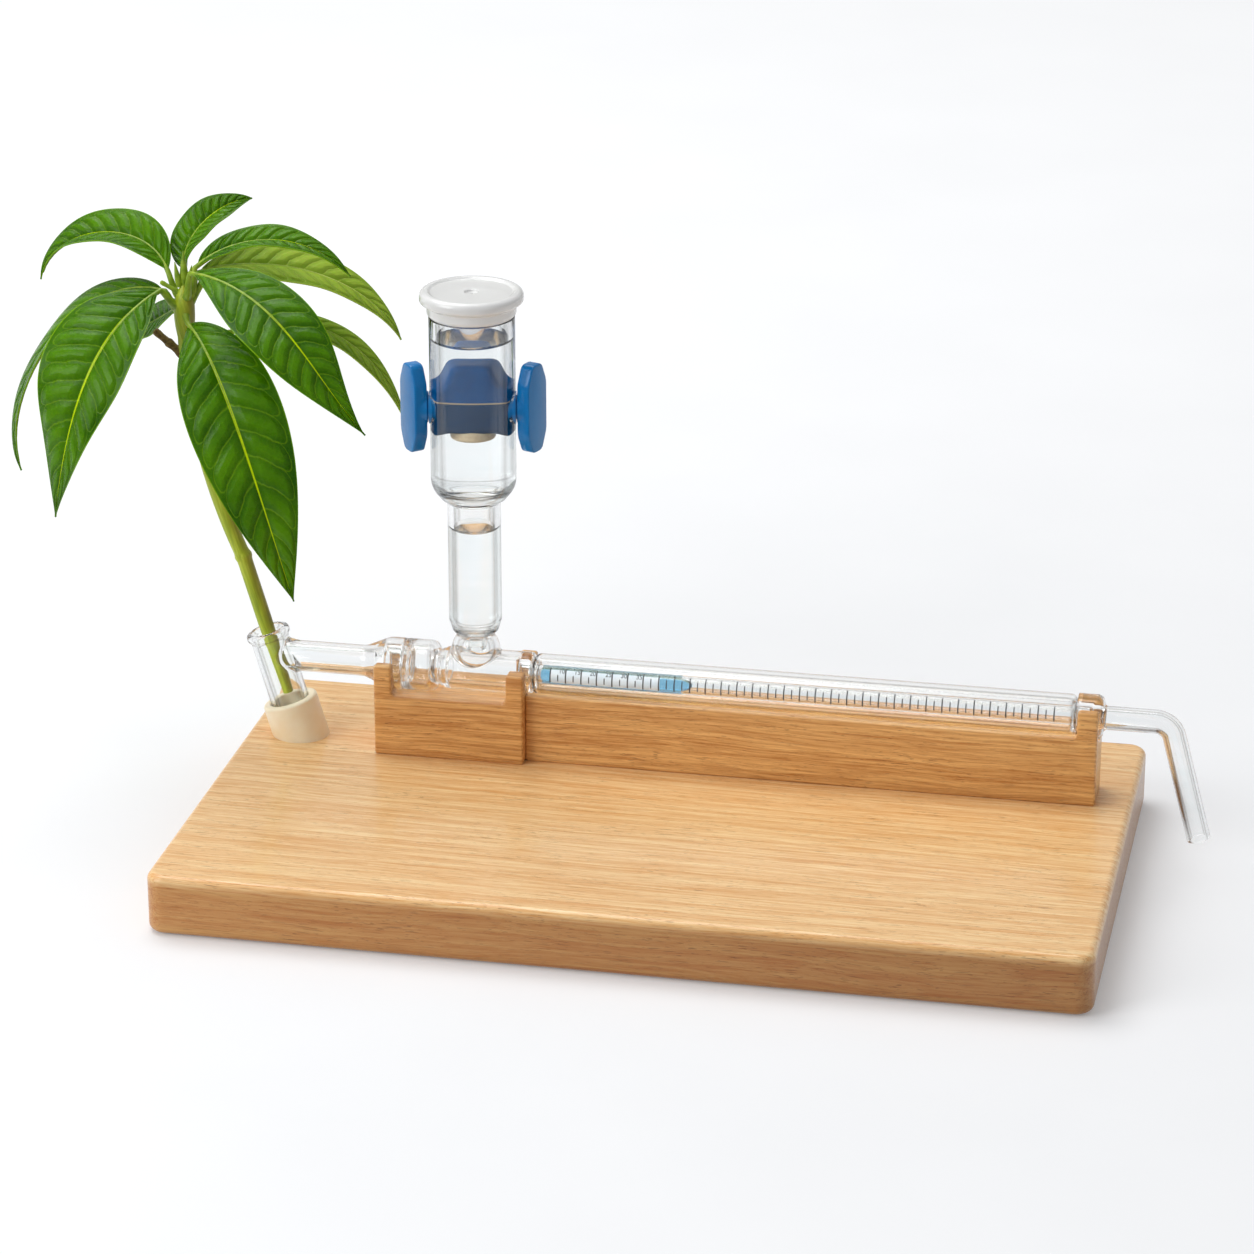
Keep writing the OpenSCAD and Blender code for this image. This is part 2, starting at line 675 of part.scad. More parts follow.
module spindle_bushes() color(cream) in_cock() for (s = [-1, 1]) rotate([0, 90, 0])
  translate([0, 0, s > 0 ? chamber_bore_r - 1.5 : -chamber_r - 0.1]) difference() {
    cylinder(h = reservoir_wall + 1.6, r = bush_r);
    translate([0, 0, -1]) cylinder(h = 6, r = spindle_r + spindle_gap);
  }

spindle_half = grip_x - 0.4;
module spindle() color(blue) in_cock() difference() {
  translate([-spindle_half, 0, 0]) rotate([0, 90, 0]) cylinder(h = 2 * spindle_half, r = spindle_r);
  translate([0, 0, -spindle_d]) cylinder(h = 2 * spindle_d, r = cock_bore / 2);
}

grip_tip_r = 1.5;
grip_side_r = 3;
hub_wall = 1.2;

// One grip: a round-ended plate turned to the front, on a hub that runs to the chamber.
module grip() difference() {
  union() {
    translate([grip_x, 0, 0]) rotate([0, 0, -grip_cant]) rotate([0, 90, 0])
      translate([0, 0, -grip_t / 2]) {
        linear_extrude(grip_t - grip_edge) grip_outline(0);
        linear_extrude(grip_t) grip_outline(grip_edge);
      }
    translate([chamber_r + grip_gap, 0, 0]) rotate([0, 90, 0])
      cylinder(h = grip_reach, r = spindle_r + hub_wall);
  }
  rotate([0, 90, 0]) cylinder(h = spindle_half + 0.05, r = spindle_r + 0.02);
}

module grip_outline(inset) {
  w = grip_w / 2 - inset;
  e = grip_end_w / 2 - inset / 2;
  h = grip_h / 2 - inset;
  t = grip_h / 2 - grip_taper;
  rounded([[-h, -e], [-t, -w], [t, -w], [h, -e], [h, e], [t, w], [-t, w], [-h, e]],
    [grip_tip_r, grip_side_r, grip_side_r, grip_tip_r, grip_tip_r, grip_side_r, grip_side_r, grip_tip_r]);
}

module right_grip() color(blue) in_cock() grip();
module left_grip() color(blue) in_cock() mirror([1, 0, 0]) grip();

/* Measuring tube and outlet */

jacket_round = 1.8;
module measuring_jacket() color(glass) on_line() rotate_extrude() difference() {
  round_both(jacket_od / 2, jacket_x, jacket_stop, jacket_round);
  round_both(jacket_od / 2 - glass_wall, jacket_x + jacket_end, jacket_stop - jacket_end, 1);
  translate([0, jacket_x - 1]) square([capillary_od / 2 + joint_gap, jacket_stop - jacket_x + 2]);
}

module capillary_tube() color(glass) on_line() translate([0, 0, jacket_x - capillary_in]) difference() {
  cylinder(h = jacket_stop - jacket_x + 2 * capillary_in, r = capillary_od / 2);
  translate([0, 0, -1]) cylinder(h = far, r = capillary_bore / 2);
}

module dye_column() color([0.15, 0.45, 0.65]) on_line()
  translate([0, 0, jacket_x + dye_from]) cylinder(h = dye_l, r = capillary_bore / 2 - dye_gap);

collar_end = jacket_stop + collar_l;
bend_x = collar_end + outlet_run;

// The outlet's run, bend and leg share one ring-shaped section.
module outlet_section() difference() {
  circle(outlet_od / 2);
  circle(outlet_bore / 2);
}

module outlet_tube() color(glass) {
  on_line() rotate_extrude() difference() {
    union() {
      mirror([0, 1]) round_end(collar_od / 2, -collar_end, -jacket_stop, barrel_corner);
      translate([0, collar_end - 1]) square([outlet_od / 2, 2]);
    }
    translate([0, jacket_stop - 1]) square([capillary_od / 2 + joint_gap, capillary_in + 1.2]);
    translate([0, jacket_stop]) square([outlet_bore / 2, collar_l + 2]);
  }
  // The bent tube is turned as one, so that its three stretches meet face to face.
  translate([bend_x, line_y, line_z]) rotate([90, 0, 0]) translate([0, -outlet_bend_r, 0]) {
    translate([eps, outlet_bend_r, 0]) rotate([0, -90, 0])
      linear_extrude(outlet_run - 1 + eps) outlet_section();
    rotate([0, 0, 90 - outlet_bend]) {
      rotate_extrude(angle = outlet_bend) translate([outlet_bend_r, 0]) outlet_section();
      translate([outlet_bend_r, 0, 0]) rotate([90, 0, 0]) linear_extrude(outlet_leg) outlet_section();
    }
  }
}

/* Shoot */

// The middle line of the stem in the shoot's frame: straight, then bending over.
function stem_at(z) = let (u = max(0, (z - node_h) / (stem_h - node_h)))
  [(stem_bend + stem_sway) * u * u - stem_sway * u, 0, z];
head_z = stem_h - head_l;
stem_low = vessel_floor + 1.6 + stem_clear;
function stem_r(z) =
  stem_foot_r + (stem_top_r - stem_foot_r) * (z - stem_low) / (stem_h - stem_low)
  + node_swell * exp(-pow((z - node_h) / 1.1, 2))
  + (z > head_z ? (head_r - stem_top_r) * sin(min(90, 200 * (z - head_z) / head_l)) : 0);

// The stem leans on the back of the vessel's mouth.
lean_at = 105;
stem_rest = vessel_r - vessel_wall - stem_gap - stem_r(vessel_h);
module in_shoot() in_vessel() translate([stem_rest * cos(lean_at), stem_rest * sin(lean_at), 0]) children();

stem_steps = concat([for (i = [0:9]) stem_low + i * (node_h - 2.4 - stem_low) / 9],
  [for (i = [-3:3]) node_h + 0.7 * i], [for (i = [1:12]) node_h + 2.1 + i * (head_z - node_h - 2.1) / 12],
  [for (i = [1:7]) head_z + i * (head_l - 2) / 7]);
stem_sides = 16;

function flat(lists) = [for (a = lists) for (b = a) b];
module skin(rings, n) {
  m = len(rings);
  polyhedron(points = flat(rings), faces = concat(
    [[for (k = [0:n - 1]) k]],
    flat([for (i = [0:m - 2], k = [0:n - 1]) let (a = i * n + k, b = i * n + (k + 1) % n)
      [[a, a + n, b], [b, a + n, b + n]]]),
    [[for (k = [0:n - 1]) (m - 1) * n + n - 1 - k]]));
}

module shoot_stem() color(stem_green) in_shoot() skin(
  concat([for (z = stem_steps) [for (k = [0:stem_sides - 1])
      stem_at(z) + stem_r(z) * [cos(360 * k / stem_sides), sin(360 * k / stem_sides), 0]]],
    [[for (k = [0:stem_sides - 1]) stem_at(stem_h)
      + 0.55 * head_r * [cos(360 * k / stem_sides), sin(360 * k / stem_sides), 0]]]), stem_sides);

// A curve through four points, at 0, 1/3, 2/3 and 1 of its run.
function through(p, t) = let (a = t - 1 / 3, b = t - 2 / 3, c = t - 1)
  p[0] * a * b * c * -4.5 + p[1] * t * b * c * 13.5 + p[2] * t * a * c * -13.5 + p[3] * t * a * b * 4.5;
function through_dir(p, t) = unit(through(p, t + 0.001) - through(p, t - 0.001));

// One ring round a leaf: five points over the top and five back under it.
us = [-1, -0.5, 0, 0.5, 1];
function leaf_ring(c, dir, side, wl, wr, fold, rib, edge) = let (s = unit(side - (side * dir) * dir),
    n = cross(s, dir)) concat(
  [for (u = us) let (w = u < 0 ? wl : wr) c + s * w * u
    + n * (w * (fold * abs(u) - 0.12 * u * u) + edge / 2 + (rib - edge) / 2 * (1 - abs(u)))],
  [for (i = [4:-1:0]) let (u = us[i], w = u < 0 ? wl : wr) c + s * w * u
    + n * (w * (fold * abs(u) - 0.12 * u * u) - edge / 2 - (rib - edge) / 2 * (1 - abs(u)))]);

// Skin of a ring stack whose rings are flat strips, closed by quads at both ends.
module leaf_skin(rings) {
  n = 10;
  m = len(rings);
  e = (m - 1) * n;
  polyhedron(points = flat(rings), faces = concat(
    flat([for (i = [0:m - 2], k = [0:n - 1]) let (a = i * n + k, b = i * n + (k + 1) % n)
      [[a, a + n, b], [b, a + n, b + n]]]),
    flat([for (j = [0:3]) [[j, j + 1, n - 2 - j], [j, n - 2 - j, n - 1 - j]]]),
    flat([for (j = [0:3]) [[e + j, e + n - 2 - j, e + j + 1], [e + j, e + n - 1 - j, e + n - 2 - j]]])));
}

blade_steps = [0.03, 0.08, 0.15, 0.24, 0.34, 0.44, 0.54, 0.64, 0.73, 0.81, 0.88, 0.94, 0.985];

// The leaves are set out upright from the stem's top, for a stem that leans this much.
leaf_lean = 16.5;
function upright(v) = [v[0] * cos(leaf_lean) - v[2] * sin(leaf_lean), v[1],
  v[0] * sin(leaf_lean) + v[2] * cos(leaf_lean)];

// A leaf. p: four midrib points; w: half widths; face: where its upper side looks;
// at: how far below the stem's top, and in which direction, its stalk grows.
module leaf(p, w, face, fold, peak, full, at) {
  root_z = stem_h - at[0];
  out = upright([cos(at[1]), sin(at[1]), 0]);
  root = upright(stem_at(root_z) - stem_at(stem_h)) + out * (stem_r(root_z) + stalk_gap);
  s0 = unit(cross(through_dir(p, 0), face));
  start = through(p, 0);
  reach = norm(start - root);
  // The stalk curves from the head's surface into the blade.
  function stalk(t) = let (h = 1 - t) root * h * h * (1 + 2 * t) + start * t * t * (3 - 2 * t)
    + out * reach * 0.8 * t * h * h - through_dir(p, 0) * reach * 0.8 * t * t * h;
  function stalk_dir(t) = unit(stalk(t + 0.01) - stalk(t - 0.01));
  color(leaf_green) in_shoot() translate(stem_at(stem_h)) rotate([0, leaf_lean, 0]) leaf_skin(concat(
    [leaf_ring(root, out, s0, stalk_r, stalk_r, 0, 2 * stalk_r, stalk_r)],
    [for (t = [0.3, 0.6, 0.9]) leaf_ring(stalk(t), stalk_dir(t), s0, stalk_r, stalk_r, 0,
      2 * stalk_r, stalk_r)],
    [for (t = blade_steps) let (dir = through_dir(p, t), grow = pow(sin(180 * pow(t, peak)), full),
        thin = 1 - 0.5 * t)
      leaf_ring(through(p, t), dir, cross(dir, face), max(0.4, w[0] * grow), max(0.4, w[1] * grow),
        fold, leaf_rib * thin, leaf_edge)]));
}

module leaf_front() leaf([[2.5, -5, -12], [20.5, -27, -27], [34.5, -35, -61], [42.5, -29, -97]],
  [16.5, 15.5], [0.15, -0.9, 0.4], 0.16, 0.8, 1.15, [9.5, -63]);
module leaf_left_front() leaf([[-7.5, -5, -1], [-19.5, -23, -13], [-29.5, -31, -37],
  [-39.5, -25, -75]], [13.5, 19.5], [-0.25, -0.85, 0.5], 0.16, 0.84, 1.1, [6, 214]);
module leaf_far_left() leaf([[-8.5, 3, -3], [-39.5, 7, -14], [-59.5, 7, -42], [-60.5, 3, -70]],
  [8, 8], [-0.5, -0.25, 0.8], 0.25, 0.7, 1.1, [8, 165]);
module leaf_upper_left() leaf([[-6.5, 3, 4], [-23.5, 13, 12], [-44.5, 19, 7], [-56.5, 21, -8]],
  [7.5, 8.5], [-0.2, -0.42, 0.85], 0.5, 0.68, 1.15, [4, 150]);
module leaf_top() leaf([[-1.5, 5, 4], [-0.5, 13, 13], [6.5, 21, 20], [15.5, 29, 22]], [8, 8],
  [-0.5, -0.75, 0.3], 0.35, 0.8, 1, [3, 100]);
module leaf_upper_right() leaf([[4.5, 1, 7], [20.5, 7, 14], [38.5, 9, 13], [54.5, 7, 4]], [7, 7],
  [0.1, -0.22, 0.95], 0.35, 0.75, 1.05, [4, 12]);
module leaf_right_front() leaf([[4.5, -5, 6], [33.5, -23, 1], [52.5, -31, -16], [68.5, -31, -37]],
  [12, 13.5], [0.42, -0.72, 0.55], 0.14, 0.78, 1.25, [4, -48]);
module leaf_right_back() leaf([[3.5, 7, 3], [25.5, 21, 2], [48.5, 29, -7], [65.5, 29, -24]],
  [10, 9], [0.35, -0.25, 0.9], 0.2, 0.8, 1.1, [7, 60]);
module leaf_lower_right() leaf([[13.5, 13, -19], [33.5, 25, -19], [52.5, 31, -31], [66.5, 29, -53]],
  [5, 6.5], [0.4, -0.3, 0.85], 0.2, 0.9, 1.1, [17, 44]);
module leaf_back() leaf([[-4.5, 9, -10], [-13.5, 17, -17], [-23.5, 23, -24], [-33.5, 25, -31]],
  [7, 7], [-0.2, -0.6, 0.8], 0.2, 0.8, 1.1, [11, 117]);

// Three slim buds stand on the head.
module shoot_buds() color(leaf_green) in_shoot() translate(stem_at(stem_h)) rotate([0, leaf_lean, 0])
  for (b = [[0, 0.2, 11, 1.1], [-1.4, -0.8, 7.5, 0.8], [1.3, 0.9, 6, 0.8]])
    translate([b[0], b[1], 1.2]) rotate([0, 4 * b[0], 0]) cylinder(h = b[2], r1 = b[3], r2 = 0.3);

// The brown stub of an older twig, low on the left of the head.
module twig_stub() color([0.45, 0.33, 0.2]) in_shoot() translate(stem_at(stem_h - 22.4))
  translate([-stem_r(stem_h - 22.4) - 1.6, 0, 0]) rotate([0, -34.4, 0])
    cylinder(h = 10.5, r1 = 1.5, r2 = 1.1);

base_board();
cradle_block();
scale_rail();
block_screws();
vessel_foot();
plant_vessel();
side_arm();
tee_tube();
ball_joint();
reservoir_tube();
reservoir_chamber();
reservoir_stopper();
valve_body();
valve_seat();
spindle_bushes();
spindle();
left_grip();
right_grip();
measuring_jacket();
capillary_tube();
dye_column();
outlet_tube();
shoot_stem();
shoot_buds();
twig_stub();
leaf_front();
leaf_left_front();
leaf_far_left();
leaf_upper_left();
leaf_top();
leaf_upper_right();
leaf_right_front();
leaf_right_back();
leaf_lower_right();
leaf_back();
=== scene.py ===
# A glass potometer on a beech board, with a leafy shoot standing in its leaning side vessel.
from math import acos, cos, exp, pi, radians, sin, tan
import bpy
import bmesh
from mathutils import Matrix, Vector


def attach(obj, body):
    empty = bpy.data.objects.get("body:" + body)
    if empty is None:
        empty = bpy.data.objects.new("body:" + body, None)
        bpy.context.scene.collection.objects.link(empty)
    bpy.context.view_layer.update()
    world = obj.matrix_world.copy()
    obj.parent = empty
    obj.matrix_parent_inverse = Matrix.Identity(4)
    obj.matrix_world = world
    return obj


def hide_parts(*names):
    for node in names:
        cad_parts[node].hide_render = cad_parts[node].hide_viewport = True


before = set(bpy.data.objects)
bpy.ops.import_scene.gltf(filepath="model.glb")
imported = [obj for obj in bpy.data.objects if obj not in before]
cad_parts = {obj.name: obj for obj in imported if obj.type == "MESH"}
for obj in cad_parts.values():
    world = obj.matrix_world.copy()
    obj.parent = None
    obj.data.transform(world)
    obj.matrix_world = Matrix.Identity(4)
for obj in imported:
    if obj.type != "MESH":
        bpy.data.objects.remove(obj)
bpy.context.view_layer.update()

# ---- Base board ----
# One plank of steamed beech, planed, with its corners and edges rounded over and a satin oil
# on it. It carries everything else. The node keeps its shape; only the wood is made here.
board_top, board_half = 20, 150


def paint(red, green, blue):
    """A colour as it is read off a screen, turned into the light it sends back."""
    return tuple(c / 12.92 if c <= 0.04045 else ((c + 0.055) / 1.055) ** 2.4
                 for c in (red / 255, green / 255, blue / 255)) + (1,)


def new_finish(name, **sockets):
    """A new material and its shader, with some of the shader's sockets set."""
    finish = bpy.data.materials.new(name)
    finish.use_nodes = True
    shader = finish.node_tree.nodes["Principled BSDF"]
    for socket, value in sockets.items():
        shader.inputs[socket.replace("_", " ")].default_value = value
    return finish, shader


def add_node(finish, kind, wires, **settings):
    """Adds a node; each wire is a socket and the number or the other node's output it takes."""
    tree = finish.node_tree
    node = tree.nodes.new("ShaderNode" + kind)
    for setting, value in settings.items():
        setattr(node, setting, value)
    for socket, value in wires.items():
        if isinstance(value, bpy.types.NodeSocket):
            tree.links.new(value, node.inputs[socket])
        else:
            node.inputs[socket].default_value = value
    return node


def feed(shader, **patterns):
    """Links each pattern to the shader's socket of that name."""
    for socket, pattern in patterns.items():
        shader.id_data.links.new(pattern, shader.inputs[socket.replace("_", " ")])


def vectors(finish, how, a, b):
    return add_node(finish, "VectorMath", {0: a, 1: b}, operation=how).outputs[0]


def in_millimetres(finish, turn=(0, 0, 0), stretch=(1, 1, 1), shift=(0, 0, 0)):
    """The place on the object in millimetres, turned and shifted, and then stretched."""
    place = add_node(finish, "TexCoord", {}).outputs["Object"]
    place = add_node(finish, "Mapping", {"Vector": place, "Rotation": turn, "Location": shift,
                                         "Scale": (1000, 1000, 1000)}).outputs[0]
    return vectors(finish, "MULTIPLY", place, stretch)


def axes_of(finish, place):
    return add_node(finish, "SeparateXYZ", {0: place}).outputs


def noise(finish, scale, detail=3, rough=0.5, place=None, **ways):
    """Noise over the object in millimetres, turned and stretched, or over a place given."""
    place = place or in_millimetres(finish, **ways)
    return add_node(finish, "TexNoise", {"Vector": place, "Scale": scale, "Detail": detail,
                                         "Roughness": rough}).outputs["Fac"]


def sums(finish, how, a, b=0):
    return add_node(finish, "Math", {0: a, 1: b}, operation=how).outputs[0]


def plus(finish, a, b):
    return sums(finish, "ADD", a, b)


def minus(finish, a, b):
    return sums(finish, "SUBTRACT", a, b)


def times(finish, a, b):
    return sums(finish, "MULTIPLY", a, b)


def between(finish, value, low, high, to_low=0, to_high=1):
    """Stretches low..high to to_low..to_high, and holds what lies outside."""
    return add_node(finish, "MapRange", {0: value, 1: low, 2: high, 3: to_low,
                                         4: to_high}).outputs[0]


def tones(finish, value, *stops):
    """Turns a value into colours, with a stop of (value, colour) for each."""
    ramp = add_node(finish, "ValToRGB", {0: value})
    while len(ramp.color_ramp.elements) < len(stops):
        ramp.color_ramp.elements.new(0.5)
    for element, (place, colour) in zip(ramp.color_ramp.elements, stops):
        element.position, element.color = place, colour
    return ramp.outputs[0]


def mixed(finish, amount, a, b, how="MIX"):
    return add_node(finish, "Mix", {0: amount, 6: a, 7: b}, data_type="RGBA",
                    blend_type=how).outputs[2]


def relief(finish, shader, height, depth):
    """Raises the surface by up to a depth in millimetres where the height is 1."""
    bump = add_node(finish, "Bump", {"Height": height, "Strength": 1, "Distance": depth / 1000})
    feed(shader, Normal=bump.outputs[0])


def beech(name, pith, slant, light, dark, rims=()):
    """Beech with its grain along X: growth rings round the pith, fibres, and short dark pores.
    The board's rims below its top take painted shade: two deeper tones that darken them more from
    its left end to its right, away from the light."""
    finish, shader = new_finish(name, Roughness=0.42, Coat_Weight=0.45, Coat_Roughness=0.16)
    along = in_millimetres(finish, turn=(0, 0, radians(slant)), shift=pith)
    sway = vectors(finish, "MULTIPLY", along, (0.008, 0.03, 0.03))
    bend = add_node(finish, "TexNoise", {"Vector": sway, "Scale": 1, "Detail": 3}).outputs["Color"]
    swayed = vectors(finish, "ADD", along, vectors(finish, "MULTIPLY", bend, (0, 8, 8)))
    rings = add_node(finish, "TexWave", {"Vector": swayed, "Scale": 0.075, "Distortion": 1.2,
                                         "Detail": 4, "Detail Scale": 0.35},
                     wave_type="RINGS", rings_direction="X", wave_profile="SAW").outputs["Fac"]

    def along_grain(length, width, detail, rough=0.55):
        drawn_out = vectors(finish, "MULTIPLY", swayed, (1 / length, 1 / width, 1 / width))
        return noise(finish, 1, detail, rough, drawn_out)

    band = along_grain(170, 6, 3)
    streak = along_grain(42, 0.9, 4, 0.6)
    fibre = along_grain(14, 0.36, 3, 0.7)
    dash = between(finish, along_grain(3.2, 0.27, 1), 0.655, 0.72)
    long_dash = between(finish, along_grain(9, 0.4, 1), 0.66, 0.73)
    depth = times(finish, rings, 0.16)
    for part, share in ((band, 0.42), (streak, 1.0), (fibre, 0.8)):
        depth = plus(finish, depth, times(finish, part, share))
    colour = tones(finish, between(finish, depth, 0.96, 1.44), (0, light), (1, dark))
    pore = sums(finish, "MAXIMUM", dash, long_dash)
    patch = between(finish, along_grain(30, 8, 2), 0.4, 0.62, 0.15, 0.6)
    colour = mixed(finish, times(finish, pore, patch), colour, paint(132, 76, 30))
    if rims:
        # Painted shade on the rims below the top, darker towards the right end.
        spot = axes_of(finish, in_millimetres(finish))
        shaded_below_top = between(finish, spot["Z"], board_top - 3.5, board_top - 1.2, 1, 0)
        rim = tones(finish, between(finish, spot["X"], -board_half, board_half),
                    (0, rims[0]), (1, rims[1]))
        colour = mixed(finish, shaded_below_top, colour, rim, "MULTIPLY")
    gloss = between(finish, plus(finish, fibre, pore), 0.3, 1.4, 0.36, 0.6)
    feed(shader, Base_Color=colour, Roughness=gloss)
    relief(finish, shader, minus(finish, times(finish, fibre, 0.5), pore), 0.06)
    return finish


def dress(node, finish):
    """Gives a CAD node its finish."""
    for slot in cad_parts[node].material_slots:
        slot.material = finish


# Painted shade for the board's rims: darker at the right end than at the left.
painted_rim_shade = (0.68, 0.5032, 0.306, 1), (0.5032, 0.3536, 0.1904, 1)
dress("base_board", beech("Beech board", (0, 150, 95), 0.8, paint(255, 218, 160),
                          paint(228, 164, 92), painted_rim_shade))

# ---- Cradle and rail ----
# Two blocks of the same beech, edges softened with sandpaper, glued and screwed on from beneath.
# The short one cups the tee between two ears, the long one carries the measuring tube. Their
# grooves follow the glass, so its line and its outer radii are given here.
glass_line = Vector((0, 37, 48.2))
barrel_r, run_r, jacket_r, collar_r = 8.7, 7.15, 7, 7.5
waist_x, run_end = -81.7, -50.8
cradle_end, blocks_meet, rail_end = -102.8, -52, 138
sanded, play = 0.7, 0.2


def soft_line(*corners, steps=7):
    """A line through corners (across, up, radius), with each corner rounded by its radius."""
    line = []
    for k, corner in enumerate(corners):
        here = Vector(corner[:2])
        radius = corner[2] if len(corner) > 2 else 0
        if not radius or k in (0, len(corners) - 1):
            line.append(tuple(here))
            continue
        a = (Vector(corners[k - 1][:2]) - here).normalized()
        b = (Vector(corners[k + 1][:2]) - here).normalized()
        half = acos(max(-1, min(1, a.dot(b)))) / 2
        middle = here + (a + b).normalized() * radius / sin(half)
        start = here + a * radius / tan(half) - middle
        end = here + b * radius / tan(half) - middle
        turn = start.angle_signed(end)
        for i in range(steps + 1):
            spot = middle + Matrix.Rotation(-turn * i / steps, 2) @ start
            line.append((spot.x, spot.y))
    return line


def put_in_scene(name, data):
    made = bpy.data.objects.new(name, data)
    bpy.context.scene.collection.objects.link(made)
    return made


def blank(shape, name):
    """A piece still in the making, in millimetres."""
    mesh = bpy.data.meshes.new(name)
    shape.to_mesh(mesh)
    shape.free()
    return put_in_scene(name, mesh)


def take_form(made):
    """Makes what the modifiers show the piece's own mesh."""
    bpy.context.view_layer.update()
    shown = made.evaluated_get(bpy.context.evaluated_depsgraph_get())
    mesh = bpy.data.meshes.new_from_object(shown)
    made.modifiers.clear()
    made.data = mesh


def carve(made, tool, how="DIFFERENCE"):
    """Cuts a tool's shape from a piece, or joins the two."""
    step = made.modifiers.new(how, "BOOLEAN")
    step.operation, step.object, step.solver = how, tool, "EXACT"
    take_form(made)
    bpy.data.objects.remove(tool)


def piece(made, body, slot, *finishes, stands_for=(), crease=38, clear=False):
    """Brings a made piece to its real size, and gives it its finish and body. The slot is not
    used.
    A clear piece lets the light through to what stands behind it."""
    made.data.transform(Matrix.Scale(0.001, 4))
    made.data.materials.clear()
    for finish in finishes:
        made.data.materials.append(finish)
    made.data.shade_smooth()
    made.data.set_sharp_from_angle(angle=radians(crease))
    made.visible_shadow = not clear
    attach(made, body)
    if stands_for:
        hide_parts(*stands_for)


def verts_in(grown):
    return [g for g in grown if isinstance(g, bmesh.types.BMVert)]


def put(shape, place):
    """Moves a shape to its place, with its faces outwards also where that mirrors it."""
    bmesh.ops.transform(shape, matrix=place, verts=shape.verts[:])
    bmesh.ops.recalc_face_normals(shape, faces=shape.faces[:])
    return shape


def plate(outline, thick, soft):
    """A flat plate with rounded rims, cut to an outline of (across, up) points."""
    shape = bmesh.new()
    face = shape.faces.new([shape.verts.new((-thick / 2, y, z)) for y, z in outline])
    grown = bmesh.ops.extrude_face_region(shape, geom=[face])["geom"]
    bmesh.ops.translate(shape, vec=(thick, 0, 0), verts=verts_in(grown))
    bmesh.ops.recalc_face_normals(shape, faces=shape.faces[:])
    rims = [e for e in shape.edges if soft and e.verts[0].co.x * e.verts[1].co.x > 0]
    bmesh.ops.bevel(shape, geom=rims, offset=soft, offset_type="OFFSET", segments=3, profile=0.5,
                    affect="EDGES", material=-1)
    return shape


def wood_block(name, outline, deep, finish, *grooves):
    """A sawn block with an outline of (along, up) points; a groove is (from, to, radius, open)."""
    place = Matrix.Translation((0, glass_line.y, board_top)) @ Matrix.Rotation(-pi / 2, 4, "Z")
    block = blank(put(plate(outline[:-1], deep, sanded), place), name + "_wood")
    for first, last, radius, is_open in grooves:
        turns = [*range(180, 361, 5)] + ([] if is_open else [*range(5, 180, 5)])
        cutter = [(radius * cos(radians(a)), radius * sin(radians(a))) for a in turns]
        if is_open:
            cutter += [(radius, 30), (-radius, 30)]
        middle = Matrix.Translation(glass_line + Vector(((first + last) / 2, 0, 0)))
        carve(block, blank(put(plate(cutter, last - first, 0), middle), "groove"))
    piece(block, "stand", "block_wood", finish, stands_for=[name], crease=50)


left_ear, ear_top, bed = 5.8, 31.5, 21.3
cradle = soft_line((-80, 0), (blocks_meet, 0, 0.9), (blocks_meet, ear_top, 1),
                   (blocks_meet - left_ear, ear_top, 1), (blocks_meet - left_ear, bed, 1.8),
                   (cradle_end + left_ear, bed, 1.8), (cradle_end + left_ear, ear_top, 1),
                   (cradle_end, ear_top, 1), (cradle_end, 0, 0.9), (-80, 0))
wood_block("cradle_block", cradle, 25,
           beech("Beech cradle", (30, -40, 70), -1.5, paint(246, 192, 120), paint(190, 122, 56)),
           (-110, waist_x, barrel_r + play, True), (-83, -45, run_r + play, True))
ear_from, ear_top, bed = 131.3, 32.8, 23.5
rail = soft_line((0, 0), (rail_end, 0, 0.9), (rail_end, ear_top, 1), (ear_from, ear_top, 1),
                 (ear_from, bed, 1.8), (blocks_meet, bed, 0.9), (blocks_meet, 0, 0.9), (0, 0))
wood_block("scale_rail", rail, 17,
           beech("Beech rail", (-60, 70, 20), 0.6, paint(248, 196, 124), paint(194, 128, 62)),
           (-60, run_end, run_r + play, True), (-51, ear_from, jacket_r + play, True),
           (130.5, 145, collar_r + play, False))

# ---- Screws ----
# Five countersunk steel screws, turned and zinc plated. They come up through the board from
# underneath and hold the two blocks.
finish, shader = new_finish("Zinc plated steel", Metallic=1, Roughness=0.35)
spots = noise(finish, 1.5, 4)
colour = tones(finish, spots, (0.3, paint(176, 176, 172)), (0.7, paint(214, 213, 206)))
feed(shader, Base_Color=colour, Roughness=between(finish, spots, 0.3, 0.7, 0.28, 0.45))
dress("block_screws", finish)

# ---- Foot of the plant vessel ----
# A cup of cream plastic in which the vessel leans. It is turned, cut off at a slant so that it
# stands level, and glued to the board.
lean = radians(16.5)
in_vessel = Matrix.Translation((-131.8, glass_line.y, board_top)) @ Matrix.Rotation(-lean, 4, "Y")


def turned(profile, place, sides=96, closed=False):
    """Spins a profile of (radius, height) points about its axis, and puts it in its place."""
    shape = bmesh.new()
    points = [shape.verts.new((r, 0, h)) for r, h in profile]
    pairs = list(zip(points, points[1:])) + ([(points[-1], points[0])] if closed else [])
    edges = [shape.edges.new(pair) for pair in pairs]
    bmesh.ops.spin(shape, geom=points + edges, cent=(0, 0, 0), axis=(0, 0, 1), angle=2 * pi,
                   steps=sides, use_merge=True)
    bmesh.ops.remove_doubles(shape, verts=shape.verts[:], dist=0.0005)
    return put(shape, place)


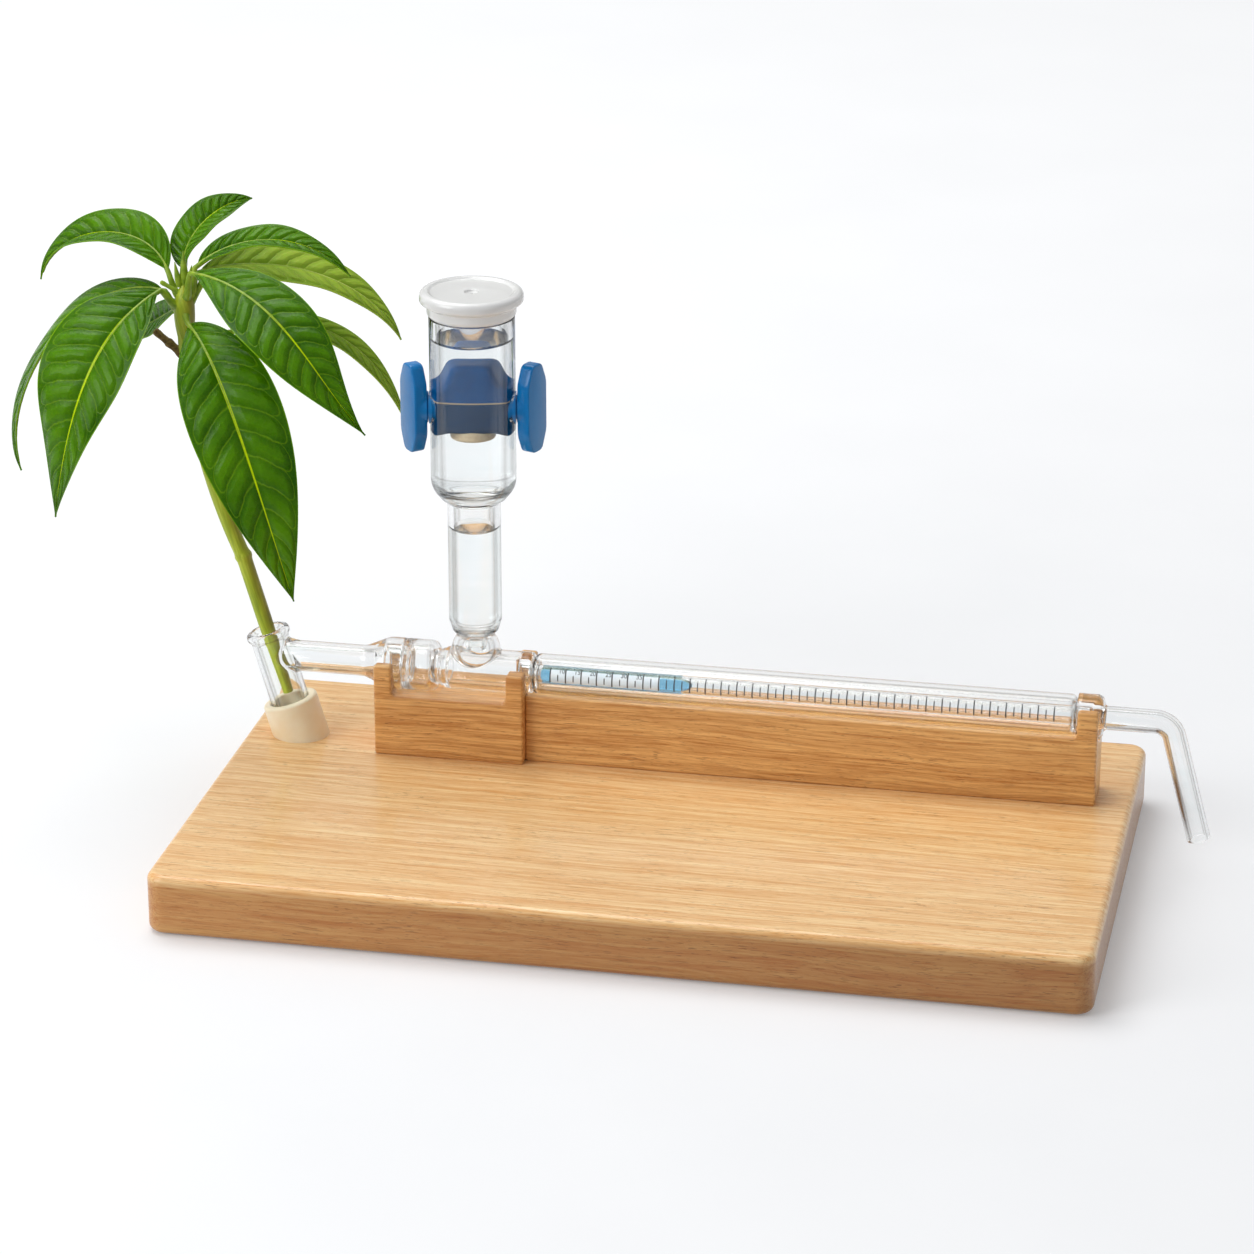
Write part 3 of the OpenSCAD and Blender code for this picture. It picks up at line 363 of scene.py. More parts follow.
finish, shader = new_finish("Cream plastic", Roughness=0.42, Subsurface_Weight=0.15,
                            Subsurface_Radius=(0.004, 0.003, 0.002), Subsurface_Scale=0.6)
cloud = noise(finish, 0.16, 5, 0.6)
colour = tones(finish, cloud, (0.3, paint(250, 232, 198)), (0.75, paint(255, 242, 214)))
feed(shader, Base_Color=colour, Roughness=between(finish, cloud, 0.3, 0.7, 0.36, 0.5))
turning = noise(finish, 1, 2, turn=(0, lean, 0), stretch=(0.15, 0.15, 3))
relief(finish, shader, plus(finish, times(finish, turning, 0.5), cloud), 0.04)
foot_r, foot_high, foot_bore, foot_floor = 9.3, 12.8, 6.65, 3.2
foot = turned(soft_line((0, -4), (foot_r, -4), (foot_r, foot_high, 1), (foot_bore, foot_high, 0.5),
                        (foot_bore, foot_floor), (0, foot_floor)), in_vessel)
bmesh.ops.bisect_plane(foot, geom=foot.verts[:] + foot.edges[:] + foot.faces[:],
                       plane_co=(0, 0, board_top), plane_no=(0, 0, -1), clear_outer=True)
bmesh.ops.holes_fill(foot, edges=[e for e in foot.edges if e.is_boundary], sides=0)
piece(blank(foot, "foot_cup"), "stand", "foot_plastic", finish, stands_for=["vessel_foot"])

# ---- Plant vessel ----
# Blown from clear laboratory glass: a round-bottomed cup with a rolled rim, and a level arm
# that leaves it over a blown swelling and opens into the bell of a ground joint.
in_line = Matrix.Translation(glass_line) @ Matrix.Rotation(pi / 2, 4, "Y")
voxel = 0.32


def edge_on(finish):
    """How far the surface is turned from the eye: 0 seen full face, 1 seen edge on."""
    return add_node(finish, "LayerWeight", {"Blend": 0.5}).outputs["Facing"]


def blown(made):
    """Melts joined shapes into one skin with soft fillets."""
    melt = made.modifiers.new("melt", "REMESH")
    melt.mode, melt.voxel_size = "VOXEL", voxel
    even = made.modifiers.new("even", "SMOOTH")
    even.factor, even.iterations = 0.5, 10
    take_form(made)


def turn_into(made, profile, place, sides=96, how="DIFFERENCE"):
    """Bores a turned shape out of a piece, or joins it on."""
    carve(made, blank(turned(profile, place, sides), "tool"), how)


def glass_piece(made, *nodes):
    piece(made, "stand", "glass", glass, clear=True, stands_for=nodes)


glass, shader = new_finish("Blown glass", Roughness=0, IOR=1.47, Transmission_Weight=1)
streaks = noise(glass, 1, 3, stretch=(0.03, 0.25, 0.25))
colour = tones(glass, streaks, (0.35, paint(250, 252, 252)), (0.65, paint(254, 254, 254)))
# Painted shade: grey lines where the glass is seen edge on, standing in for the dark reflections
# along its walls.
painted_edge_lines = tones(glass, edge_on(glass), (0.26, paint(255, 255, 255)),
                   (0.36, paint(176, 174, 172)), (0.46, paint(240, 241, 241)),
                   (0.74, paint(222, 222, 222)), (0.95, paint(112, 108, 104)))
feed(shader, Base_Color=mixed(glass, 1, colour, painted_edge_lines, "MULTIPLY"))
relief(glass, shader, noise(glass, 1, 1, stretch=(0.03, 0.1, 0.1)), 0.012)


cup_r, cup_bore, lip_r, lip_bore, lip_low, mouth = 6.5, 5.3, 7.4, 4.7, 36, 38.4
arm_from, joint_x, arm_r, arm_bore, bell_bore = -140.15, -94.5, 5.2, 3.9, 6.5
cup = soft_line((0, 3.3), (cup_r, 3.3, 4.5), (cup_r, 34.9, 2), (lip_r, lip_low, 1),
                (lip_r, mouth, 1.2), (lip_bore, mouth, 1.2), (lip_bore, lip_low), (0, lip_low))
arm = soft_line((0, arm_from), (6.4, arm_from, 1), (6.2, -137.5, 2), (arm_r, -132, 6),
                (arm_r, -108.4, 7), (barrel_r, -100.4, 6), (barrel_r, joint_x, 0.5),
                (0, joint_x))
inside_cup = soft_line((0, 4.9), (cup_bore, 4.9, 3.7), (cup_bore, 36.2, 1), (5.1, 37, 1),
                       (5.9, 38.7), (5.9, 41), (0, 41))
inside_arm = soft_line((0, arm_from), (arm_bore, arm_from), (arm_bore, -104, 1),
                       (bell_bore, -101, 0.5), (bell_bore, -90), (0, -90))
vessel = blank(turned(cup, in_vessel), "vessel_glass")
turn_into(vessel, arm, in_line, how="UNION")
blown(vessel)
turn_into(vessel, inside_cup, in_vessel)
turn_into(vessel, inside_arm, in_line)
glass_piece(vessel, "plant_vessel", "side_arm")

# ---- Tee ----
# The second piece of glass: a ground plug for the bell, a short barrel, a waist, and the run,
# on which sits the flattened ball that takes the reservoir's spigot.
riser_x, ball_z, ball_r, hollow_r = -70.5, 55.5, 8.15, 5.95
plug_r, plug_bore, barrel_bore = 6.45, 4.05, 6.7
waist_r, waist_bore, run_bore = 5.8, 3.8, 5.35
riser = Matrix.Translation((riser_x, glass_line.y, 0))


def ball_side(radius, last):
    """The ball's side from its lowest point up, with a point every six degrees."""
    turns = [radians(6 * i) for i in range(1, last + 1)]
    return [(0, ball_z - radius)] + [(sin(a) * radius, ball_z - cos(a) * radius) for a in turns]


run = soft_line((0, -100.8), (plug_r, -100.8, 0.4), (plug_r, joint_x), (barrel_r, joint_x, 0.5),
                (barrel_r, -83.3, 2.6), (waist_r, -83.3, 0.9), (waist_r, waist_x, 0.9),
                (run_r, waist_x, 2.4), (run_r, run_end, 1), (0, run_end))
ball = ball_side(ball_r, 22) + soft_line((6.8, 60.1), (5.6, 60.85, 1), (0, 60.85))[1:]
inside_run = soft_line((0, -102), (plug_bore, -102), (plug_bore, -93.2, 0.5),
                       (barrel_bore, -93, 2), (barrel_bore, -85.3, 2), (waist_bore, -85.1, 0.5),
                       (waist_bore, -79.6, 0.5), (run_bore, -79.5, 1.2), (run_bore, -54.8, 0.8),
                       (3.25, -54.8), (3.25, -49), (0, -49))
inside_ball = ball_side(hollow_r, 23) + [(3.55, 59.8), (3.55, 63), (0, 63)]
tee = blank(turned(run, in_line), "tee_glass")
turn_into(tee, ball, riser, 72, "UNION")
blown(tee)
turn_into(tee, inside_run, in_line)
turn_into(tee, inside_ball, riser, 72)
glass_piece(tee, "tee_tube", "ball_joint")

# ---- Reservoir ----
# One blown body: a spigot in the ball, a narrow tube with a thick round bottom, and above a
# shoulder the wide chamber with a port on each side for the stopcock.
cock = Matrix.Translation((riser_x, glass_line.y, 140.5)) @ Matrix.Rotation(radians(10.5), 4, "Z")
along_spindle = cock @ Matrix.Rotation(pi / 2, 4, "Y")
spigot_r, spigot_bore, tube_r, tube_bore, port_r = 3.5, 2, 8.8, 6.9, 5.5
chamber_r, chamber_bore = 14.1, 12.2
tube_floor, throat, chamber_floor, rim_top = 63, 112.4, 113.8, 172
wall = soft_line((spigot_bore, 55.8), (spigot_r, 55.8, 0.5), (spigot_r, 60.9, 0.2), (5, 60.9, 0.9),
                 (7.6, 62.6, 2), (tube_r, 66.6, 2), (tube_r, 108.4, 1.5), (10.8, 109.4, 3),
                 (chamber_r, 113.6, 8), (chamber_r, rim_top, 0.4), (chamber_bore, rim_top, 0.4),
                 (chamber_bore, chamber_floor, 3.2), (tube_bore, throat, 1.6),
                 (tube_bore, tube_floor, 4.4), (spigot_bore, tube_floor, 0.6), steps=9)
reservoir = blank(turned(wall, riser, 144, closed=True), "reservoir_glass")
ports = [(0, -16), (port_r, -16), (port_r, 16), (0, 16)]
turn_into(reservoir, ports, along_spindle, 64)
glass_piece(reservoir, "reservoir_tube", "reservoir_chamber")

# ---- Water ----
# Boiled water stands in the chamber over and under the stopcock, and in the narrow tube. It
# wets the glass: each surface turns up at the wall, and the sides reach a hair into it.


def mottled(name, first, second, *pattern, stretch=(1, 1, 1), depth=0, **sockets):
    """A finish whose two tones, each a stop of (value, colour), run into each other in clouds,
    with a pattern of (scale, detail, roughness). A depth raises the second tone."""
    finish, shader = new_finish(name, **sockets)
    clouds = noise(finish, *pattern, stretch=stretch)
    feed(shader, Base_Color=tones(finish, clouds, first, second))
    if depth:
        relief(finish, shader, clouds, depth)
    return finish


water = mottled("Water", (0.4, paint(252, 254, 254)), (0.6, paint(254, 255, 255)), 0.02, 2,
                Roughness=0, IOR=1.33, Transmission_Weight=1)
wet = 0.07
upper = soft_line((0, 110.6), (6.4, 110.4), (tube_bore + wet, 109.8),
                  (tube_bore + wet, throat - wet, 1.6),
                  (chamber_bore + wet, chamber_floor - wet, 3.2), (chamber_bore + wet, 164.9),
                  (12.1, 164.7), (11.2, 163.7, 1.2), (9.6, 163.4), (0, 163.4))
lower = soft_line((0, 57), (spigot_bore + wet, 57), (spigot_bore + wet, tube_floor - wet, 0.6),
                  (tube_bore + wet, tube_floor - wet, 4.4), (tube_bore + wet, 99.6), (6.8, 99.4),
                  (6.1, 98.6, 0.8), (4.6, 98.3), (0, 98.3))
for name, profile in (("chamber_water", upper), ("tube_water", lower)):
    piece(blank(turned(profile, riser), name), "stand", "glass", water, clear=True)

# ---- Stopper ----
# A milky clear lid, moulded with a thick rolled flange, a shallow dish and a vent hole. It
# sits on the chamber's rim with a short plug inside it.
finish, shader = new_finish("Milky stopper", Roughness=0.16, IOR=1.46, Transmission_Weight=0.24,
                            Coat_Weight=0.5, Coat_Roughness=0.04)
milk = noise(finish, 0.09, 4, 0.6)
colour = tones(finish, milk, (0.3, paint(250, 250, 249)), (0.7, paint(254, 254, 253)))
# Painted shade: where the lid is seen edge on, grey-green stands in for the dark reflections in
# its glassy rim.
colour = mixed(finish, between(finish, edge_on(finish), 0.6, 1.0, 0, 0.7), colour,
               paint(196, 199, 190))
feed(shader, Base_Color=colour, Roughness=between(finish, milk, 0.3, 0.7, 0.12, 0.24))
relief(finish, shader, milk, 0.02)
vent_r, lid_plug_r, flange_r, plug_low, flange_top = 0.9, 11.9, 17, 170.9, 180.5
lid = soft_line((vent_r, plug_low), (lid_plug_r, plug_low, 0.4), (lid_plug_r, rim_top, 0.1),
                (13.9, rim_top, 0.3), (14.6, 173, 0.6), (14.7, 175.6, 0.5), (15.5, 176, 0.5),
                (flange_r, 177, 1.3), (flange_r, flange_top, 1.9), (14.3, flange_top, 0.6),
                (13.4, 179.8, 0.8), (2.3, 179.9, 0.3), (2.1, 179.1, 0.3), (vent_r, 179, 0.3),
                steps=8)
piece(blank(turned(lid, riser, 128, closed=True), "stopper_lid"), "stopper", "stopper_plastic",
      finish, stands_for=["reservoir_stopper"])

# ---- Stopcock ----
# A moulded blue body with a hump fills the chamber's bore over a pale seat disc, and shows a
# pale line where its halves meet. A blue spindle runs through it and two bushes to the grips.
parting_z = 144.1


def blue_plastic(name, face, shade, shine=0.45, halves=False):
    """Injection-moulded plastic with a little flow and wear. The halves of the body meet in a
    pale line, and the lower one is darkened by painted shade, as if in the shade of the upper."""
    finish, shader = new_finish(name, Roughness=0.3, IOR=1.5, Specular_IOR_Level=shine)
    flow = noise(finish, 0.13, 4, 0.55, stretch=(1, 1, 0.5))
    colour = tones(finish, flow, (0.3, shade), (0.7, face))
    if halves:
        height = axes_of(finish, in_millimetres(finish))["Z"]
        # Painted shade: the lower half is darkened.
        painted_shade_below = between(finish, height, parting_z - 0.2, parting_z + 0.2, 1, 0)
        colour = mixed(finish, painted_shade_below, colour, (0.5, 0.5, 0.46, 1), "MULTIPLY")
        off_line = sums(finish, "ABSOLUTE", minus(finish, height, parting_z))
        colour = mixed(finish, between(finish, off_line, 0.16, 0.3, 1, 0), colour,
                       paint(196, 176, 140))
    grain = noise(finish, 3.2, 3, 0.6)
    feed(shader, Base_Color=colour, Roughness=between(finish, grain, 0.3, 0.7, 0.16, 0.26))
    relief(finish, shader, plus(finish, times(finish, grain, 0.2), flow), 0.05)
    return finish


blue = blue_plastic("Blue plastic", paint(8, 126, 196), paint(0, 112, 182))
# The body under water is a darker copy of the blue: painted shade for the dimming that water and
# glass give it.
blue_in_painted_shade = blue_plastic("Blue plastic in painted shade", paint(0, 82, 144), paint(0, 68, 124),
                        shine=0.02, halves=True)
dress("spindle", blue)
dress("spindle_bushes", blue)

body_deep, body_r, spindle_hole = 12, 11.9, 4.05
right_side = [(6.2, -7, 3), (11.7, -8.7, 1), (11.7, 7.6, 1.2), (7.8, 8.5, 4.5), (5.4, 16.2, 2.6)]
left_side = [(-across, up, radius) for across, up, radius in reversed(right_side)]
hump = soft_line((0, -7), *right_side, *left_side, (0, -7))
valve = blank(put(plate(hump[:-1], body_deep, 1.6), cock @ Matrix.Rotation(pi / 2, 4, "Z")),
              "valve_block")
blown(valve)
within_bore = [(0, -12), (body_r, -12), (body_r, 20), (0, 20)]
turn_into(valve, within_bore, cock, how="INTERSECT")
blown(valve)
way_through = [(0, -15), (spindle_hole, -15), (spindle_hole, 15), (0, 15)]
turn_into(valve, way_through, along_spindle)
piece(valve, "stand", "blue_plastic", blue_in_painted_shade, stands_for=["valve_body"])

grip_x, grip_high, grip_wide, grip_thick, grip_turn = 19.29, 15, 5.6, 4.6, radians(-30)
upper_edge = [(-grip_wide, 8.6, 7.5), (-2.8, grip_high, 2.6), (2.8, grip_high, 2.6),
              (grip_wide, 8.6, 7.5)]
lower_edge = [(across, -up, radius) for across, up, radius in reversed(upper_edge)]
grip = soft_line((-grip_wide, 0), *upper_edge, *lower_edge, (-grip_wide, 0), steps=10)
hub = soft_line((0, 14.5), (5.2, 14.5, 0.4), (5.2, 18.5), (0, 18.5))
for name, way in (("right_grip", 1), ("left_grip", -1)):
    place = (cock @ Matrix.Scale(way, 4, (1, 0, 0)) @ Matrix.Translation((grip_x, 0, 0))
             @ Matrix.Rotation(grip_turn, 4, "Z"))
    thumb = blank(put(plate(grip[:-1], grip_thick, 0.55), place), name + "_plate")
    turn_into(thumb, hub, cock @ Matrix.Rotation(way * pi / 2, 4, "Y"), 48, "UNION")
    piece(thumb, "key", "blue_plastic", blue, stands_for=[name])

dress("valve_seat", mottled("Pale seat", (0.3, paint(214, 190, 150)), (0.7, paint(232, 214, 180)),
                            0.7, 4, depth=0.05, Roughness=0.5))

# ---- Measuring tube ----
# A glass capillary, drawn, fused at both ends into a wider jacket tube. The jacket's ends
# are rounded in the flame.
capillary_r, capillary_bore, jacket_bore = 3.2, 2.1, 5.5
jacket_from, jacket_to, end_wall = -50.6, 130.5, 1.3
fused_r = capillary_r + 0.02
jacket = soft_line((fused_r, jacket_from), (jacket_r, jacket_from, 2.4),
                   (jacket_r, jacket_to, 2.4), (fused_r, jacket_to),
                   (fused_r, jacket_to - end_wall), (jacket_bore, jacket_to - end_wall, 1.4),
                   (jacket_bore, jacket_from + end_wall, 1.4), (fused_r, jacket_from + end_wall),
                   steps=9)
glass_piece(blank(turned(jacket, in_line, closed=True), "jacket_glass"), "measuring_jacket")
capillary = soft_line((capillary_bore, -54.7), (capillary_r, -54.7, 0.2),
                      (capillary_r, 134.6, 0.2), (capillary_bore, 134.6))
glass_piece(blank(turned(capillary, in_line, 64, closed=True), "capillary_glass"),
            "capillary_tube")

# ---- Dyed column ----
# Water tinted with methylene blue. It fills the first part of the capillary's bore and ends
# in a round front, which creeps along the scale as the shoot drinks.
tinted = mottled("Dyed water", (0.35, paint(118, 190, 226)), (0.65, paint(148, 208, 238)), 0.5, 2,
                 stretch=(0.08, 1, 1), Roughness=0, IOR=1.34, Transmission_Weight=1)
dye_r, front_from, front_long = capillary_bore + wet, -1.5, 4.5
dye = soft_line((0, -48), (dye_r, -48, 0.9), (dye_r, front_from))
dye += [(dye_r * cos(radians(a)), front_from + front_long * sin(radians(a)))
        for a in range(9, 91, 9)]
piece(blank(turned(dye, in_line, 48), "dye_bead"), "dye", "dyed_water", tinted, clear=True,
      stands_for=["dye_column"])

# ---- Scale ----
# Fired black ink on the front of the capillary: ticks by turns long and short, with small
# figures beside the first ones, and a strip of white enamel behind those.
faces_eye = radians(22)


def on_capillary(x, up, lift):
    """A point above the capillary's skin, up in millimetres round it from its front."""
    radius = capillary_r + lift
    angle = faces_eye + up / radius
    return Vector((x, glass_line.y - cos(angle) * radius, glass_line.z + sin(angle) * radius))


def strip(shape, x, low, high, width, lift=0.05, parts=1):
    """A strip wrapped on the capillary, with its middle at x."""
    grid = bmesh.ops.create_grid(shape, x_segments=parts, y_segments=8, size=0.5)["verts"]
    for v in grid:
        v.co = on_capillary(x + v.co.x * width, low + (v.co.y + 0.5) * (high - low), lift)


def thicken(made, thick):
    """Gives a thin skin its thickness, outwards."""
    layer = made.modifiers.new("layer", "SOLIDIFY")
    layer.thickness, layer.offset = thick, 1
    take_form(made)


ink = mottled("Black scale ink", (0.35, paint(14, 15, 18)), (0.75, paint(44, 46, 52)), 1.3, 3,
              Roughness=0.45)
shape = bmesh.new()
tick_from, tick_to, tick_step, figures_to = -44.5, 126, 2.62, -12
for k in range(int((tick_to - tick_from) / tick_step)):
    x = tick_from + k * tick_step
    if k % 2:
        strip(shape, x, -1.9, 0.1 if x < figures_to else 1.1, 0.36)
    else:
        strip(shape, x, -2.7, 2.6, 0.42)
for x, figure in ((-40.6, "10"), (-35.3, "15"), (-30.1, "20"), (-24.8, "25"), (-19.6, "30"),
                  (-14.4, "35")):
    letters = bpy.data.curves.new("figure", "FONT")
    letters.body, letters.size, letters.align_x = figure, 2.2, "CENTER"
    letters = put_in_scene("figure", letters)
    figure_skin = bpy.data.meshes.new_from_object(letters)
    for v in figure_skin.vertices:
        v.co = on_capillary(x + v.co.x, 0.7 + v.co.y, 0.09)
    shape.from_mesh(figure_skin)
    bpy.data.objects.remove(letters)
ticks = blank(shape, "scale_ticks")
thicken(ticks, 0.05)
piece(ticks, "stand", "glass", ink)

white = mottled("White enamel", (0.3, paint(222, 235, 244)), (0.7, paint(242, 247, 250)), 0.5, 3,
                stretch=(0.2, 1, 1), Roughness=0.4)
shape = bmesh.new()
strip(shape, -26, -2.8, 1.8, 37, lift=0.02, parts=60)
enamel = blank(shape, "enamel_strip")
thicken(enamel, 0.04)
piece(enamel, "stand", "glass", white)

# ---- Outlet ----
# The last piece of glass: a collar over the capillary's end in the rail's ear, and a thinner
# tube bent down in the flame past the board's edge.
collar_from, outlet_r, outlet_bore = 130.7, 3.9, 2.9
bend_x, bend_r, bend_turn, leg_long = 155.9, 6.5, radians(75), 36.5


def add_shape(shape, other):
    """Puts another shape's faces in with a shape's own."""
    spare = bpy.data.meshes.new("spare")
    other.to_mesh(spare)
    other.free()
    shape.from_mesh(spare)


skin = turned(soft_line((collar_r, collar_from), (collar_r, 138.9, 2.6), (outlet_r, 139.4, 1.2),
                        (outlet_r, bend_x), steps=9), in_line, 72)
bore = turned(soft_line((collar_r, collar_from), (3.25, collar_from, 0.2), (3.25, 135.5, 0.5),
                        (outlet_bore, 136), (outlet_bore, bend_x)), in_line, 72)
for shape in (skin, bore):
    ring = [v for v in shape.verts if v.co.x > bend_x - 0.1]
    rim = [e for e in shape.edges if e.verts[0] in ring and e.verts[1] in ring]
    arc = bmesh.ops.spin(shape, geom=ring + rim, cent=glass_line + Vector((bend_x, 0, -bend_r)),
                         axis=(0, 1, 0), angle=bend_turn, steps=18)
    last = [g for g in arc["geom_last"] if isinstance(g, bmesh.types.BMEdge)]
    leg = bmesh.ops.extrude_edge_only(shape, edges=last)["geom"]
    down = Vector((cos(bend_turn), 0, -sin(bend_turn))) * leg_long
    bmesh.ops.translate(shape, vec=down, verts=verts_in(leg))
add_shape(skin, bore)
bmesh.ops.remove_doubles(skin, verts=skin.verts[:], dist=0.0005)
bmesh.ops.bridge_loops(skin, edges=[e for e in skin.edges if e.is_boundary])
bmesh.ops.recalc_face_normals(skin, faces=skin.faces[:])
glass_piece(blank(skin, "outlet_glass"), "outlet_tube")

# ---- Stem of the shoot ----
# A fresh green stem, cut clean under water. It leans on the back of the vessel's mouth, has
# the ring of an old leaf on it, and bends over into a thicker head.
stem_low, stem_high, node_high, head_long = 14.4, 159.2, 64.5, 17


def stem_r(z):
    """The stem's radius at a height along the vessel's axis."""
    up = (z - stem_low) / (stem_high - stem_low)
    old_leaf = exp(-((z - node_high) / 1.1) ** 2)
    cut_end = max(0, 1 - (z - stem_low) / 26)
    radius = 2.5 + 0.2 * up + 0.45 * old_leaf - 0.7 * cut_end
    into_head = z - (stem_high - head_long)
    if into_head > 0:
        radius += 0.8 * sin(radians(min(90, 200 * into_head / head_long)))
    return radius * (1 - 0.68 * max(0, 1 - (stem_high - z) / 6.5) ** 1.4)


def stem_at(z):
    """The stem's middle at that height. It touches the back of the vessel's bore."""
    u = max(0, (z - node_high) / (stem_high - node_high))
    rest, bearing = cup_bore - 0.3 - stem_r(mouth), radians(105)
    return in_vessel @ Vector((22.6 * u * u - 12.4 * u + rest * cos(bearing),
                               rest * sin(bearing), z))


def tube(shape, stations, sides):
    """A round rod or stalk through stations (middle, radius)."""
    ways = [(b[0] - a[0]).normalized() for a, b in zip(stations, stations[1:])]
    ways = [ways[0]] + [(a + b).normalized() for a, b in zip(ways, ways[1:])] + [ways[-1]]
    across = ways[0].orthogonal().normalized()
    seat = None
    for (middle, radius), way in zip(stations, ways):
        across = (across - way * across.dot(way)).normalized()
        over = way.cross(across)
        if seat is None:
            ring = bmesh.ops.create_circle(shape, cap_ends=False, segments=sides,
                                           radius=1)["verts"]
            edges = shape.edges[:]
            seat = {v: v.co.copy() for v in ring}
        else:
            grown = bmesh.ops.extrude_edge_only(shape, edges=edges)["geom"]
            ring = verts_in(grown)
            edges = [g for g in grown if isinstance(g, bmesh.types.BMEdge)
                     and g.verts[0] in ring and g.verts[1] in ring]
            before = {v: [e.other_vert(v) for e in v.link_edges] for v in ring}
            seat = {v: next(seat[o] for o in before[v] if o in seat) for v in ring}
        for v in ring:
            v.co = middle + (across * seat[v].x + over * seat[v].y) * radius
    bmesh.ops.holes_fill(shape, edges=[e for e in shape.edges if e.is_boundary], sides=0)
    bmesh.ops.recalc_face_normals(shape, faces=shape.faces[:])


finish, shader = new_finish("Green stem", Roughness=0.42, Subsurface_Weight=0.1,
                            Subsurface_Radius=(0.002, 0.003, 0.001), Subsurface_Scale=0.5)
streak = noise(finish, 1, 4, 0.6, turn=(0, lean, 0), stretch=(1.1, 1.1, 0.07))
blush = noise(finish, 0.05, 3)
colour = tones(finish, streak, (0.3, paint(138, 158, 16)), (0.5, paint(170, 188, 34)),
               (0.7, paint(198, 210, 66)))
# The stem is browner on the side that faces right, in clouds.
faces_right = axes_of(finish, add_node(finish, "TexCoord", {}).outputs["Normal"])["X"]
browner_to_right = plus(finish, faces_right, between(finish, blush, 0.3, 0.7, -0.4, 0.4))
feed(shader, Base_Color=mixed(finish, between(finish, browner_to_right, 0.15, 0.95, 0, 0.62), colour,
                              paint(132, 104, 26)))
relief(finish, shader, streak, 0.12)
heights = [stem_low + i * 2.4 for i in range(19)] + [60.5 + 0.7 * i for i in range(12)]
heights += [70 + 3.6 * i for i in range(20)] + [142.2 + 1.7 * i for i in range(11)]
shape = bmesh.new()
tube(shape, [(stem_at(z), stem_r(z)) for z in heights], 28)
piece(blank(shape, "stem"), "shoot", "stem", finish, stands_for=["shoot_stem"])

# ---- Leaves ----
# Ten soft evergreen leaves: each a folded, arching blade that swells between its side
# veins, with a raised midrib underneath that runs on into the stalk.
stem_top = stem_at(stem_high)
veins, vein_lean, vein_curve, leaf_thick = 13, 0.07, 0.045, 0.42


def leaf_finish(name, deep, fresh, vein, rib, gloss):
    """A leaf's skin, patterned by its own map: U runs along the midrib, V across. Side veins
    lie where the vein count is a whole number, and join in a loop inside the margin."""
    finish, shader = new_finish(name, Roughness=gloss, Specular_IOR_Level=0.14,
                                Subsurface_Weight=0.3, Subsurface_Scale=1,
                                Subsurface_Radius=(0.0007, 0.0012, 0.0002))
    spot = axes_of(finish, add_node(finish, "TexCoord", {}).outputs["UV"])
    wander = noise(finish, 0.22, 3)
    across = sums(finish, "ABSOLUTE", minus(finish, times(finish, spot[1], 2), 1))
    back = plus(finish, times(finish, across, vein_lean),
                times(finish, sums(finish, "POWER", across, 2), vein_curve))
    count = times(finish, minus(finish, spot[0], back), veins)
    count = plus(finish, count, times(finish, wander, 0.3))
    from_middle = minus(finish, sums(finish, "FRACT", count), 0.5)
    from_middle = sums(finish, "ABSOLUTE", from_middle)
    off_vein = minus(finish, 0.5, from_middle)
    loop = minus(finish, 0.9, times(finish, sums(finish, "POWER", from_middle, 3), 1.3))
    inside = minus(finish, loop, across)
    side_vein = times(finish, between(finish, off_vein, 0, 0.07, 1, 0),
                      between(finish, inside, -0.02, 0.02))
    loop_vein = between(finish, sums(finish, "ABSOLUTE", inside), 0.006, 0.022, 1, 0)
    ribs = sums(finish, "MAXIMUM", side_vein, times(finish, loop_vein, 0.7))
    taper = plus(finish, times(finish, spot[0], 0.9), 0.55)
    midrib = between(finish, times(finish, across, taper), 0.014, 0.034, 1, 0)
    margin = between(finish, across, 0.972, 0.992, 0, 1)
    net = add_node(finish, "TexVoronoi", {"Vector": in_millimetres(finish), "Scale": 0.6},
                   feature="DISTANCE_TO_EDGE").outputs["Distance"]
    fine = between(finish, net, 0, 0.09, 1, 0)
    swell = times(finish, between(finish, off_vein, 0, 0.34), between(finish, inside, 0, 0.16))
    swell = times(finish, swell, between(finish, across, 0.02, 0.22))
    cloud = noise(finish, 0.05, 4, 0.6)
    # Painted highlight: the bulges between the veins are coloured lighter, where their gloss
    # catches the light; the clouds are the leaf's own tone.
    shade = plus(finish, times(finish, swell, 0.25), times(finish, cloud, 1.1))
    colour = tones(finish, between(finish, shade, 0.35, 1.0), (0.1, deep), (0.9, fresh))
    for lines, share in ((fine, 0.06), (ribs, 0.42), (margin, 0.7)):
        colour = mixed(finish, times(finish, lines, share), colour, vein)
    grain = noise(finish, 0.5, 4)
    feed(shader, Base_Color=mixed(finish, midrib, colour, rib),
         Roughness=between(finish, grain, 0.3, 0.7, gloss - 0.05, gloss + 0.1))
    height = minus(finish, swell, times(finish, fine, 0.025))
    relief(finish, shader, minus(finish, height, times(finish, ribs, 0.12)), 0.5)
    return finish


upper_side = leaf_finish("Leaf upper side", paint(42, 90, 0), paint(84, 136, 0),
                         paint(136, 180, 18), paint(198, 226, 0), 0.26)
lower_side = leaf_finish("Leaf underside", paint(122, 156, 30), paint(160, 186, 58),
                         paint(184, 202, 84), paint(206, 220, 120), 0.5)
stalk_green = mottled("Leaf stalk", (0.35, paint(112, 146, 18)), (0.7, paint(160, 186, 42)), 1, 4,
                      stretch=(0.4, 0.4, 0.4), depth=0.1, Roughness=0.4)


